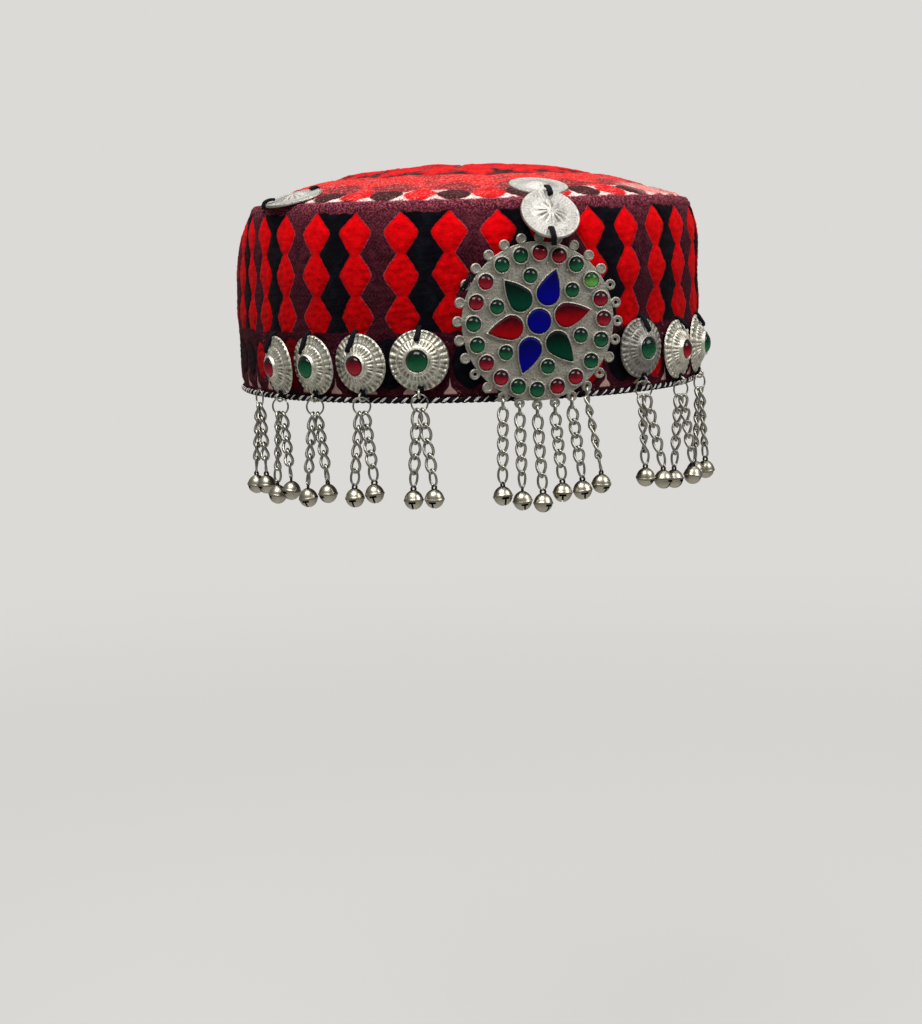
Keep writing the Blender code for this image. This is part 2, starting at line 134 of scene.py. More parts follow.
# Central plate
PLATE_RADIUS = 28.0 * MM
PLATE_THICKNESS = 0.8 * MM
PLATE_CENTER_HEIGHT = 28.4 * MM
LOOP_COUNT = 28
LOOP_TURN = 2.0
LOOP_CENTER_RADIUS = 29.7 * MM
LOOP_RADIUS = 1.75 * MM
LOOP_HOLE_RADIUS = 0.85 * MM
LOOP_HALF_ARC = 146.0  # degrees of a loop's outline to each side of its top
NECK_WIDTH = 1.8 * MM
HANGING_LOOPS = range(11, 17)
PIERCED_LOOPS = [5, 6, 7, 8, 10, 18, *HANGING_LOOPS]
GAP = 0.3 * MM
CENTER_STONE_RADIUS = 4.3 * MM
BEZEL_HEIGHT = 1.1 * MM
FLAT_STONE_HEIGHT = 1.5 * MM
PETAL_COUNT = 6
PETAL_STEP = 360.0 / PETAL_COUNT
PETAL_POINTS = 48
PETAL_FIRST = 20.0
PETAL_START = 6.2 * MM
PETAL_LENGTH = 12.9 * MM
PETAL_ROUND = 4.15 * MM
INNER_FIRST = 50.0
INNER_RING_RADIUS = 16.4 * MM
INNER_STONE_RADIUS = 2.45 * MM
INNER_STONE_HEIGHT = 2.0 * MM
OUTER_RING_RADIUS = 24.2 * MM
OUTER_STONE_RADIUS = 2.6 * MM
OUTER_STONE_HEIGHT = 2.1 * MM
OUTER_STONES = [
    # clockwise angle from the top, glass
    (2, "ruby"), (19, "ruby"), (36, "green"), (55, "lime"), (73, "ruby"), (90, "ruby"),
    (108, "green"), (128, "green"), (147, "ruby"), (165, "ruby"), (183, "green"),
    (200, "green"), (217, "ruby"), (235, "ruby"), (252, "green"), (270, "green"),
    (288, "ruby"), (307, "ruby"), (327, "green"), (345, "green"),
]
PLATE_LOOKS = ["plate", "ruby", "green", "lime"]
PETAL_GLASSES = [("blue", "blue_glass"), ("petal_red", "red_glass"), ("petal_green", "green_glass")]
LOOP_WIRE = 0.30 * MM
BEZEL_WALL = 0.5 * MM
BEZEL_ROOM = 0.12 * MM
BEAD_COUNT = 26
BEAD_RINGS = [20.3, 20.8, 26.6, 12.6]  # mm from the plate's middle
BEAD_LINE = [(0.0, -1.0), (0.8, -0.5), (1.0, 0.0), (0.75, 0.6), (0.0, 1.0)]

# Side medallions
MEDALLION_RADIUS = 10.9 * MM
MEDALLION_STONE_RADIUS = 3.8 * MM
MEDALLION_STONE_HEIGHT = 2.3 * MM
RUBY_GROW = -0.45 * MM  # the red stones of the medallions are smaller than the green ones
ODD_GLASS = ("green", "green_glass", 0.0)  # of every other medallion: glass, slot, growth
EVEN_GLASS = ("ruby", "red_glass", RUBY_GROW)
# right_1 takes a darker copy of the ribbed silver: painted shade, for a medallion that stands in shadow
MEDALLION_IN_PAINTED_SHADE = "right_1"
MEDALLION_COLLAR = 4.75 * MM
MEDALLION_SEAT = 3.7 * MM
MEDALLION_RIBS = 30
MEDALLION_SIDES = 210
MEDALLION_RINGS = 34
EYE_RADIUS = 1.4 * MM
EYE_DROP = MEDALLION_RADIUS + 0.9 * MM
EYE_OUT = 1.6 * MM
MEDALLIONS = {
    # place: azimuth, height of the middle, turn further to the side, lean of the top away from the wall
    "left_1": (-27.1, 15.8 * MM, 0.0, 0.0),
    "left_2": (-40.8, 14.6 * MM, 9.0, 6.0),
    "left_3": (-53.6, 13.8 * MM, 10.0, 6.0),
    "left_4": (-65.4, 13.1 * MM, 11.0, 6.0),
    "right_1": (27.8, 16.5 * MM, 0.0, 0.0),
    "right_2": (43.2, 14.4 * MM, 0.0, 0.0),
    "right_3": (57.6, 15.0 * MM, 0.0, 0.0),
}
STITCHES = {
    # place: where the thread over the rim starts and ends across the disc, and how low it ends, in mm
    "left_1": (0.3, -0.3, 7.4),
    "left_2": (-1.4, -3.1, 4.9),
    "left_3": (-1.7, -3.1, 4.4),
    "left_4": (-2.0, -3.4, 5.1),
    "right_1": (1.0, 1.5, 6.2),
    "right_2": (1.5, 3.0, 7.7),
    "right_3": (0.5, 1.5, 6.5),
}

# Coins, placed as in the part
COIN_RADIUS = 10.9 * MM
COIN_THICKNESS = 0.7 * MM
COIN_DOME = 1.6 * MM
COIN_CREASES = 11
COIN_TICKS = 46
CAD_BAND_LINE = [(89.0, 2.9), (89.8, 12.0), (90.2, 36.0), (89.8, 57.0), (88.2, 67.0), (85.2, 72.0)]
COINS = [
    # name, azimuth, how far the face looks up, slide up the face
    ("coin_front", 3.4, 39.0, -8.2 * MM),
    ("coin_crown", 5.4, 75.0, -7.4 * MM),
    ("coin_left", -67.0, 74.0, 4.5 * MM),
]
COIN_SIDES = 192
COIN_RINGS = 34
COIN_MIDDLE = 0.15 * MM
CREASE_DEPTHS = {"coin_front": 0.60 * MM, "coin_crown": 0.12 * MM, "coin_left": 0.35 * MM}
COIN_STITCHES = {
    # coin: lines of thread over its rim, by points across, up and out of its face, in mm
    "coin_front": [
        [(1.9, 8.2, 1.1), (1.9, 8.6, 1.7), (1.8, 10.8, 1.6), (1.8, 12.6, 0.4)],
        [(-2.0, -6.9, 1.2), (-2.0, -7.4, 1.9), (-1.8, -10.6, 1.4), (-1.5, -12.6, -1.4)],
    ],
    "coin_crown": [],
    "coin_left": [
        [(-0.4, 8.6, 1.0), (-0.4, 9.2, 1.5), (-0.3, 10.9, 1.3), (-0.3, 12.0, 0.0)],
        [(-4.8, -5.4, 1.6), (-5.8, -6.6, 1.9), (-7.2, -8.3, 1.3), (-8.0, -9.2, -0.9)],
    ],
}
PLATE_STITCH = [(-27.6, 12.2, -0.6), (-26.9, 13.3, 1.3), (-25.1, 16.3, 1.3), (-24.4, 17.4, -0.6)]

# Drops
WIRE = 0.4 * MM
RING_SLACK = 0.15 * MM
PAIR_RING_RADIUS = 3.1 * MM
PAIR_RING_TURN = 30.0
SINGLE_RING_RADIUS = 2.1 * MM
SINGLE_RING_TURN = 78.0
EDGE_ON_CHAIN = "drop_center_1"
CHAIN_SPREAD = 1.6 * MM
LINK_WIRE = 0.56 * MM
LINK_HALF_WIDTH = 1.72 * MM
LINK_TWIST = 56.0
LINK_POINTS = 22
LINK_ROLL = 9.0  # degrees by which a link may be turned out of its chain's plane
LONG_LINK_HALF = 2.9 * MM
LONG_LINK_TWIST = 12.0
LONG_LINK_ROLL = 35.0
CURB_LINKS = 4
DROP_LOOKS = ["wire", "dark_wire", "bell", "hollow"]
# the bell's shell, the near-black painted shade inside it, and the dark ring of painted shade under its seam
BELL_LOOKS = ["bell", "hollow", "dark_wire"]
BELL_UPPER = [(0.6, 3.55), (1.5, 3.15), (2.5, 2.30), (3.15, 1.25), (3.42, 0.42)]  # mm
BELL_LOWER = [(3.42, -0.40), (3.15, -1.3), (2.5, -2.35), (1.6, -3.08), (0.7, -3.44)]
BELL_LINE_POINTS = 9
BELL_WALL_SHARE = 0.88
BELL_HOLLOW_SHARE = 0.82
SLOT = (0.36 * MM, 5.0 * MM, 2.0 * MM)  # half sizes of the slot and of its wide end
SLOT_Z = -2.7 * MM
SLOT_END = (1.30 * MM, 5.0 * MM, 0.38 * MM)
SLOT_END_Z = -0.95 * MM
BELL_RADIUS = 3.5 * MM
BELL_SPACING = 7.6 * MM
BAIL_RADIUS = 0.85 * MM
BAIL_WIRE = 0.42 * MM
PAIR_DROPS = {
    # place: swing of the pair to the front, sideways shift, depth below the hem of the left and right bell
    "left_1": (0.0, 0.6 * MM, 34.0 * MM, 33.6 * MM),
    "left_2": (8.0, 0.0, 33.7 * MM, 32.1 * MM),
    "left_3": (24.0, 0.0, 34.6 * MM, 33.0 * MM),
    "left_4": (6.0, 0.6 * MM, 35.0 * MM, 33.0 * MM),
    "left_5": (6.0, -1.0 * MM, 33.2 * MM, 32.6 * MM),
    "right_1": (18.0, 4.0 * MM, 31.0 * MM, 32.4 * MM),
    "right_2": (41.0, 0.7 * MM, 34.3 * MM, 33.3 * MM),
    "right_3": (20.0, 0.0, 33.7 * MM, 34.2 * MM),
}
HEM_DROP_AZIMUTHS = {"left_5": -77.0}
HEM_RING_HEIGHT = -0.05 * MM
SINGLE_DROPS = [
    # name, sideways offset of the bell from the plate's middle, depth below the hem
    ("drop_center_1", 22.6 * MM, 31.0 * MM),
    ("drop_center_2", 15.4 * MM, 32.9 * MM),
    ("drop_center_3", 7.8 * MM, 33.3 * MM),
    ("drop_center_4", 0.4 * MM, 36.6 * MM),
    ("drop_center_5", -7.3 * MM, 35.4 * MM),
    ("drop_center_6", -14.6 * MM, 33.2 * MM),
]

# Hem cord and its stitches
CORD_POINTS = 900
CORD_TWISTS = 110
STRAND_OFFSET = 0.45 * MM
STRAND_RADIUS = 0.82 * MM
HEM_STITCHES = 150
HEM_THREAD = 0.21 * MM
STITCH_TAPER = np.array([0.6, 0.9, 1.0, 1.1, 1.15, 1.1, 1.0, 0.9, 0.5])
STITCH_START = -24.0  # degrees up round the cord, from straight out
STITCH_SWEEP = 72.0
STITCH_OUT = 1.36 * MM
STITCH_UP = 1.42 * MM

# Camera
CAMERA_AZIMUTH = -15.9
CAMERA_DISTANCE = 0.854
CAMERA_HEIGHT = 0.072
CAMERA_PITCH = -8.25
CAMERA_YAW = -0.32
CAMERA_ROLL = -1.56
FOCAL_PIXELS = 2158.0
IMAGE_HEIGHT = 1024.0
SENSOR_HEIGHT = 36.0

# Studio
FLOOR_DROP = 0.34  # from the hem down to the floor, which the drops don't reach
FLOOR_RADIUS = 1.6
FLOOR_SIDES = 64
BACKGROUND = (0.716, 0.700, 0.680)
ROOM_BRIGHTNESS = [
    # place from straight down (0) to straight up (1), brightness
    (0.0, 0.72),
    (1.0, 0.46),
    (0.38, 0.21),
    (0.52, 0.15),
    (0.74, 0.30),
]
LIGHT_TARGET = 0.04  # height above the hem at which the lights are pointed
LIGHTS = [
    # name, azimuth from the camera, elevation, distance, width and height, power
    ("key", -24.0, 56.0, 0.62, (0.40, 0.30), 4.4),
    ("fill", 68.0, 34.0, 0.80, (0.45, 0.35), 3.7),
    ("top", 180.0, 70.0, 1.2, (1.0, 0.8), 9.0),
]

# Colours
RED = (0.72, 0.0010, 0.0030)
# RED_DEEP: the deep red of the pile, and also the painted shade of the red lower down the band and at the
# edges of its diamonds
RED_DEEP = (0.26, 0.0006, 0.0016)
PINK_THREAD = (0.300, 0.052, 0.072)
BLACK = (0.0022, 0.0025, 0.0042)
BLACK_WORN = (0.0065, 0.0075, 0.0115)
MAROON = (0.024, 0.0038, 0.0078)
MAROON_THREAD = (0.105, 0.0170, 0.0280)
CREAM = (0.72, 0.50, 0.46)
LINING = (0.060, 0.018, 0.022)
BORDER_DARK = (0.052, 0.0072, 0.0135)
BORDER_LIGHT = (0.360, 0.080, 0.108)
SILVER_DARK = (0.16, 0.15, 0.12)
THREADS = {
    # key: dark colour, light colour, sheen, specular level
    "black_thread": ((0.0025, 0.0025, 0.0035), (0.009, 0.009, 0.012), 0.0, 0.08),
    "white_thread": ((0.52, 0.50, 0.48), (0.86, 0.84, 0.80), 0.2, 0.3),
}
SILVERS = {
    # key: material, roughness, grain scale, grain height, tarnish, colour, spots
    "plate": ("grainy_silver", 0.50, 1200.0, 0.34 * MM, 0.6, (0.43, 0.41, 0.355), 0.45),
    "ribbed": ("ribbed_silver", 0.46, 1500.0, 0.24 * MM, 0.75, (0.74, 0.715, 0.61), 0.4),
    # a darker copy of the ribbed silver; its dark colour is painted shade
    "ribbed_painted_shade": ("ribbed_silver_painted_shade", 0.50, 1500.0, 0.24 * MM, 0.8, (0.34, 0.325, 0.305), 0.5),
    "coin": ("coin_silver", 0.43, 1500.0, 0.24 * MM, 0.60, (0.44, 0.425, 0.395), 0.4),
    "wire": ("wire_silver", 0.30, 900.0, 0.02 * MM, 0.7, (0.40, 0.385, 0.335), 0.2),
    "bell": ("bell_silver", 0.30, 300.0, 0.0, 0.6, (0.40, 0.375, 0.295), 0.0),
    # dark_wire: the bails, and also the ring of painted shade under each bell's seam
    "dark_wire": ("dark_wire", 0.50, 900.0, 0.04 * MM, 0.5, (0.030, 0.029, 0.026), 0.35),
    # hollow: the near-black inside of the bells, painted shade
    "hollow": ("bell_inside_painted_shade", 0.90, 900.0, 0.04 * MM, 0.5, (0.012, 0.012, 0.011), 0.35),
}
GLASSES = {
    # key: dark colour and bright colour of the painted glow, coat, specular level
    "green": ((0.001, 0.008, 0.005), (0.004, 0.150, 0.055), 0.6, 0.0),
    "ruby": ((0.016, 0.001, 0.003), (0.44, 0.004, 0.022), 0.6, 0.0),
    "lime": ((0.006, 0.045, 0.005), (0.18, 0.56, 0.10), 0.6, 0.0),
    "blue": ((0.001, 0.001, 0.065), (0.001, 0.001, 0.185), 0.0, 0.05),
    "petal_red": ((0.028, 0.001, 0.003), (0.290, 0.001, 0.004), 0.0, 0.05),
    "petal_green": ((0.001, 0.005, 0.004), (0.001, 0.038, 0.019), 0.0, 0.05),
}


# Values that may be numbers, arrays or sockets of a material

def operator(operation, turned=False):
    """A method of Field that makes a math node."""
    def apply(self, other=None):
        first, second = (other, self) if turned else (self, other)
        return self.graph.math(operation, first, second)
    return apply


class Field:
    """A socket of a material's nodes that takes part in sums."""

    def __init__(self, graph, socket):
        self.graph = graph
        self.socket = socket

    __add__ = operator("ADD")
    __radd__ = operator("ADD", True)
    __sub__ = operator("SUBTRACT")
    __rsub__ = operator("SUBTRACT", True)
    __mul__ = operator("MULTIPLY")
    __rmul__ = operator("MULTIPLY", True)
    __truediv__ = operator("DIVIDE")
    __pow__ = operator("POWER")
    __abs__ = operator("ABSOLUTE")


def fract(x):
    return x.graph.math("FRACT", x) if isinstance(x, Field) else x - np.floor(x)


def sine(x):
    return x.graph.math("SINE", x) if isinstance(x, Field) else np.sin(x)


def larger(a, b):
    return a.graph.math("MAXIMUM", a, b) if isinstance(a, Field) else np.maximum(a, b)


def limited(x):
    """A field kept between 0 and 1."""
    return x.graph.math("MAXIMUM", x.graph.math("MINIMUM", x, 1.0), 0.0)


def ease(x, low, high):
    """0 below low and 1 above high, smooth between; low may be the larger one."""
    if isinstance(x, Field):
        return x.graph.ease(x, low, high)
    t = np.clip((x - low) / (high - low), 0.0, 1.0)
    return t * t * (3.0 - 2.0 * t)


class Graph:
    """A material and short ways to add to its nodes."""

    def __init__(self, name):
        self.material = bpy.data.materials.new(name)
        self.material.use_nodes = True
        self.tree = self.material.node_tree
        self.shader = self.tree.nodes["Principled BSDF"]

    def node(self, kind, **settings):
        made = self.tree.nodes.new(kind)
        for key, value in settings.items():
            setattr(made, key, value)
        return made

    def feed(self, socket, value):
        if isinstance(value, Field):
            self.tree.links.new(value.socket, socket)
        elif isinstance(value, tuple):
            socket.default_value = (*value, 1.0)
        else:
            socket.default_value = value

    def math(self, operation, first, second=None):
        node = self.node("ShaderNodeMath", operation=operation)
        self.feed(node.inputs[0], first)
        if second is not None:
            self.feed(node.inputs[1], second)
        return Field(self, node.outputs[0])

    def ease(self, value, low, high):
        node = self.node("ShaderNodeMapRange", interpolation_type="SMOOTHSTEP")
        self.feed(node.inputs["Value"], value)
        ends = (low, high, 0.0, 1.0) if low < high else (high, low, 1.0, 0.0)
        for name, end in zip(("From Min", "From Max", "To Min", "To Max"), ends):
            node.inputs[name].default_value = end
        return Field(self, node.outputs["Result"])

    def mix(self, share, first, second):
        node = self.node("ShaderNodeMix", data_type="RGBA")
        self.feed(node.inputs["Factor"], share)
        self.feed(node.inputs[6], first)
        self.feed(node.inputs[7], second)
        return Field(self, node.outputs[2])

    def uv(self, name):
        split = self.node("ShaderNodeSeparateXYZ")
        self.tree.links.new(self.node("ShaderNodeUVMap", uv_map=name).outputs["UV"], split.inputs[0])
        return Field(self, split.outputs[0]), Field(self, split.outputs[1])

    def tone(self):
        return Field(self, self.node("ShaderNodeAttribute", attribute_name="tone").outputs["Fac"])

    def normal_up(self):
        split = self.node("ShaderNodeSeparateXYZ")
        self.tree.links.new(self.node("ShaderNodeNewGeometry").outputs["Normal"], split.inputs[0])
        return Field(self, split.outputs[2])

    def texture(self, kind, scale):
        node = self.node(kind)
        place = self.node("ShaderNodeTexCoord").outputs["Object"]
        self.tree.links.new(place, node.inputs["Vector"])
        node.inputs["Scale"].default_value = scale
        return node

    def noise(self, scale, detail=2.0):
        node = self.texture("ShaderNodeTexNoise", scale)
        node.inputs["Detail"].default_value = detail
        return Field(self, node.outputs["Fac"])

    def cells(self, scale):
        return Field(self, self.texture("ShaderNodeTexVoronoi", scale).outputs["Distance"])

    def bump(self, height, distance, strength=1.0):
        node = self.node("ShaderNodeBump")
        node.inputs["Strength"].default_value = strength
        node.inputs["Distance"].default_value = distance
        self.feed(node.inputs["Height"], height)
        self.tree.links.new(node.outputs["Normal"], self.shader.inputs["Normal"])

    def look(self, **sockets):
        for name, value in sockets.items():
            self.feed(self.shader.inputs[name.replace("_", " ")], value)
        return self.material

    def cloth(self, colour, sheen):
        self.look(Base_Color=colour, Roughness=1.0, Specular_IOR_Level=0.02)
        return self.look(Sheen_Weight=sheen, Sheen_Roughness=0.5, Sheen_Tint=(1.0, 0.5, 0.5))


# Embroidery patterns: each works on arrays for the relief and on sockets for the colour

def moved(azimuth, shifts):
    """The azimuth before the hand-worked shifts of the pattern."""
    for middle, spread, size in shifts:
        azimuth = azimuth - size * np.exp(-(((azimuth - middle) / spread) ** 2))
    return azimuth


def column_place(azimuth):
    """The place across the red columns, in periods."""
    return (moved(azimuth, CROWDED) - RED_FIRST) / RED_PERIOD


def wobble(u, v, size):
    """The small wander of hand-drawn lines."""
    return size * (sine(u * 3.9 + v * 0.31) + sine(u * 8.7 - v * 0.47) * 0.6)


def stripe(u):
    """The distance across from the nearest whole number."""
    return abs(fract(u + 0.5) - 0.5)


def diamonds(u, h):
    """How far inside the red columns a point lies, in periods."""
    up = abs(fract((ROW_TOP - h) / ROW_HEIGHT) - 0.5)
    half = (WIDE - NARROW) * (1.0 - (up * 2.0) ** ROUNDNESS) + NARROW
    inside = half - stripe(u) + wobble(u, h, 0.010)
    return inside - ease(h, BORDER_EDGE - 6.5, BORDER_EDGE + 0.5) * TOP_POINT


def motif_place(azimuth):
    return (moved(azimuth, [*CROWDED, MOTIF_CROWDED]) - MOTIF_FIRST) / MOTIF_PERIOD


def motifs(u, h):
    """Large rounded shapes of the lower band: the share of their size at which a point lies."""
    across = stripe(u * 2.0) * 0.5
    wide = across / MOTIF_HALF_WIDTH
    crowded = ease(abs(u + 4.3), 1.9, 0.5)
    high = abs(h - MOTIF_HEIGHT) / MOTIF_HALF_HEIGHT * (1.0 + crowded * MOTIF_SHRINK)
    return wide ** 1.7 + high ** 1.7, across


def petals(u, r):
    """How far inside the red lozenges of the crown a point lies, in periods, between its rings."""
    outer = 1.0 - abs(r - 33.0) / 19.0
    inner = 1.0 - abs(r - 8.0) / 11.0
    return larger(outer * 0.49, inner * 0.40) - stripe(u) + wobble(u, r, 0.006)


def ovals(u, r):
    """The share of an oval's size at which a point lies, in the ring along the crown's edge."""
    return (stripe(u * 2.0) / 0.485) ** 2.2 + (abs(r - OVAL_RADIUS) / OVAL_HALF) ** 2.2


# Meshes

def ring_faces(rows, columns, wrap_rows=False):
    """Quads over rings of points, ring after ring."""
    last_row = rows if wrap_rows else rows - 1
    row = np.repeat(np.arange(last_row), columns)
    column = np.tile(np.arange(columns), last_row)
    next_row = (row + 1) % rows
    next_column = (column + 1) % columns
    corners = [row * columns + column, row * columns + next_column]
    corners += [next_row * columns + next_column, next_row * columns + column]
    return np.stack(corners, axis=1).tolist()


class Shape:
    """Points and faces gathered from several simple shapes, each face with its material's number."""

    def __init__(self):
        self.points = []
        self.faces = []
        self.looks = []
        self.tones = []

    def add(self, points, faces, looks=0, tones=1.0):
        start = len(self.points)
        self.points.extend(tuple(point) for point in points)
        self.faces.extend(tuple(start + corner for corner in face) for face in faces)
        self.looks.extend(looks if isinstance(looks, list) else [looks] * len(faces))
        self.tones.extend(tones if isinstance(tones, list) else [tones] * len(points))
        return self

    def take(self, other, matrix=None, look=None):
        points = other.points if matrix is None else transformed(other.points, matrix)
        return self.add(points, other.faces, other.looks if look is None else look, other.tones)

    def build(self, name, materials=(), sharp=60.0):
        mesh = bpy.data.meshes.new(name)
        mesh.from_pydata(self.points, [], self.faces)
        for material in materials:
            mesh.materials.append(material)
        mesh.polygons.foreach_set("material_index", np.array(self.looks, np.int32))
        tone = mesh.attributes.new("tone", "FLOAT", "POINT")
        tone.data.foreach_set("value", np.array(self.tones, np.float32))
        mesh.update()
        mesh.shade_smooth()
        mesh.set_sharp_from_angle(angle=math.radians(sharp))
        return add_object(name, mesh)

    def piece(self, name, materials, sharp, slot, *nodes, place=Matrix()):
        """The finished piece of the cap, in place of the named nodes."""
        obj = self.build(name, materials, sharp)
        obj.matrix_world = place
        finish_piece(obj, slot, *nodes)


def add_object(name, data):
    obj = bpy.data.objects.new(name, data)
    bpy.context.scene.collection.objects.link(obj)
    return obj


def finish_piece(obj, slot, *nodes):
    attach(obj, "root")
    if nodes:
        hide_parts(*nodes)


def even_angles(count):
    return 2 * np.pi * np.arange(count) / count


def transformed(points, matrix):
    numbers = np.array(matrix)
    return np.asarray(points) @ numbers[:3, :3].T + numbers[:3, 3]


def scaled(line, size):
    return [(radius * size, height * size) for radius, height in line]


def lathe(profile, sides, tone=1.0):
    """A profile of radius and height turned about Z; radius 0 at an end makes a tip."""
    tips = [profile[0][0] == 0.0, profile[-1][0] == 0.0]
    rings = profile[tips[0]:len(profile) - tips[1]]
    angles = even_angles(sides)
    points = [(r * math.cos(a), r * math.sin(a), z) for r, z in rings for a in angles]
    faces = ring_faces(len(rings), sides)
    for at_end, tip in enumerate(tips):
        if tip:
            center = len(points)
            points.append((0.0, 0.0, profile[-1 if at_end else 0][1]))
            base = (len(rings) - 1) * sides if at_end else 0
            for index in range(sides):
                pair = (base + index, base + (index + 1) % sides)
                faces.append((*pair, center) if at_end else (pair[1], pair[0], center))
    return Shape().add(points, faces, 0, tone)


def tube(path, radius, sides=8, closed=False):
    """A round wire along a path; radius may be one number or one for each point."""
    path = np.asarray(path, float)
    count = len(path)
    ahead = np.roll(path, -1, axis=0)
    behind = np.roll(path, 1, axis=0)
    if not closed:
        ahead[-1] = path[-1]
        behind[0] = path[0]
    along = ahead - behind
    along /= np.linalg.norm(along, axis=1)[:, None]
    if closed:
        side = path - path.mean(axis=0)
    else:
        side = np.empty_like(path)
        start = np.array([0.0, 0.0, 1.0]) if abs(along[0][2]) < 0.9 else np.array([1.0, 0.0, 0.0])
        for index in range(count):
            start = start - along[index] * (start @ along[index])
            start /= np.linalg.norm(start)
            side[index] = start
    side -= along * np.sum(side * along, axis=1)[:, None]
    side /= np.linalg.norm(side, axis=1)[:, None]
    other = np.cross(along, side)
    radii = np.broadcast_to(np.asarray(radius, float), (count,))
    angles = even_angles(sides)
    rings = path[:, None, :] + radii[:, None, None] * (
        np.cos(angles)[None, :, None] * side[:, None, :] + np.sin(angles)[None, :, None] * other[:, None, :])
    faces = ring_faces(count, sides, wrap_rows=closed)
    if not closed:
        faces.append(tuple(range(sides))[::-1])
        faces.append(tuple(range((count - 1) * sides, count * sides)))
    return Shape().add(rings.reshape(-1, 3), faces)


def round_path(radius, count, start=0.0, sweep=360.0):
    """Points of a circle in the XY plane, or of a part of one."""
    closed = sweep == 360.0
    steps = count if closed else count - 1
    angles = np.radians(start) + np.radians(sweep) * np.arange(count) / steps
    return np.stack([radius * np.cos(angles), radius * np.sin(angles), np.zeros(count)], axis=1)


def smooth_line(points, count):
    """Points at even steps along a smooth curve through a few points."""
    points = np.asarray(points, float)
    padded = np.vstack([2 * points[0] - points[1], points, 2 * points[-1] - points[-2]])
    fine = []
    for index in range(len(points) - 1):
        p0, p1, p2, p3 = padded[index:index + 4]
        t = np.linspace(0.0, 1.0, CURVE_STEPS, endpoint=False)[:, None]
        fine.append(0.5 * (2 * p1 + (p2 - p0) * t + (2 * p0 - 5 * p1 + 4 * p2 - p3) * t ** 2
                           + (3 * p1 - p0 - 3 * p2 + p3) * t ** 3))
    fine = np.vstack(fine + [points[-1:]])
    lengths = np.concatenate([[0.0], np.cumsum(np.linalg.norm(np.diff(fine, axis=0), axis=1))])
    wanted = np.linspace(0.0, lengths[-1], count)
    return np.stack([np.interp(wanted, lengths, fine[:, axis]) for axis in range(points.shape[1])], axis=1)


def ripple(angle, other, seed, count, fine):
    """A smooth random field that closes on itself round the cap, about -1 to 1."""
    picker = np.random.default_rng(seed)
    total = np.zeros(np.broadcast(angle, other).shape)
    for _ in range(count):
        turns = picker.integers(1, int(fine) + 1)
        lean = other * picker.uniform(-1, 1) * fine
        total = total + np.sin(turns * angle + lean + picker.uniform(0, 6.283))
    return total / math.sqrt(count)


def cloth_grid(name, points, uv_sets, materials, looks):
    """A closed cloth skin over rings of points, with its pattern coordinates."""
    rows, columns = points.shape[:2]
    faces = ring_faces(rows, columns, wrap_rows=True)
    mesh = bpy.data.meshes.new(name)
    mesh.from_pydata(points.reshape(-1, 3).tolist(), [], faces)
    row = np.repeat(np.arange(rows), columns)
    column = np.tile(np.arange(columns), rows)
    corner_rows = np.stack([row, row, row + 1, row + 1], axis=1) % rows
    corner_columns = np.stack([column, column + 1, column + 1, column], axis=1)
    for uv_name, (across, along) in uv_sets.items():
        layer = mesh.uv_layers.new(name=uv_name)
        values = np.stack([across[corner_columns], along[corner_rows]], axis=-1)
        layer.data.foreach_set("uv", values.reshape(-1).astype(np.float32))
    for material in materials:
        mesh.materials.append(material)
    mesh.polygons.foreach_set("material_index", looks[row].astype(np.int32))
    mesh.update()
    mesh.shade_smooth()
    return add_object(name, mesh)


def wall_frame(azimuth, radius, height):
    """Local X runs to the right along the wall, Y up and Z out of it."""
    angle = math.radians(azimuth)
    right = Vector((math.cos(angle), math.sin(angle), 0.0))
    out = Vector((math.sin(angle), -math.cos(angle), 0.0))
    matrix = Matrix((right, Vector((0.0, 0.0, 1.0)), out)).transposed().to_4x4()
    matrix.translation = out * radius + Vector((0.0, 0.0, HEM_Z + height))
    return matrix


def shift(x, y, z):
    return Matrix.Translation((x, y, z))


def turn(degrees, axis):
    return Matrix.Rotation(math.radians(degrees), 4, axis)


# Materials

def line_rows(distance, pitch):
    """Lines at even steps of a distance: 1 on a line and 0 half way between two."""
    return abs(fract(distance * (1.0 / pitch)) - 0.5) * 2.0


def cloth_textures(graph, tuft_scale, patch_scale):
    """Speckle, tufts, grain and patch, which the two embroideries share."""
    return graph.cells(900.0), graph.cells(tuft_scale), graph.noise(1500.0), graph.noise(patch_scale, 3.0)


def border_colour(graph, grain, speckle, rise):
    """Pale knots on the dark border between band and crown."""
    knots = ease(grain, 0.44, 0.64) * 0.55 + ease(speckle, 0.42, 0.12) * 0.45
    return graph.mix(knots * rise, BORDER_DARK, BORDER_LIGHT)


def maroon_colour(graph, h, loops, textures, border):
    """The maroon columns: loops and curls of thread, which turn into the border at the top."""
    _, tufts, _, patch = textures
    fade = ease(h, 26.0, 70.0)
    curls = ease(tufts, 0.30, 0.52) * ease(patch, 0.42, 0.58) * (fade * 0.5 + 0.3)
    maroon = graph.mix(larger(loops * 0.75, curls) * (fade * 0.3 + 0.6), MAROON, MAROON_THREAD)
    return graph.mix(ease(h, BORDER_EDGE - 13.0, BORDER_EDGE) * 0.8, maroon, border)


def plush_red_painted_shade(graph, h, depth, pile, patch):
    # Painted light and shade: the red is painted brighter towards the top of the band and darker towards the
    # bottom, and darker near the edges of each diamond as the shade of its raised pile; the pile and patch
    # noise are the thread's own variation.
    plush = ease(pile, 0.30, 0.70) * 0.34 + ease(patch, 0.3, 0.7) * 0.14 + ease(h, 26.0, 70.0) * 0.52
    return graph.mix(plush * (ease(depth, -0.3, 1.5) * 0.55 + 0.45), RED_DEEP, RED)


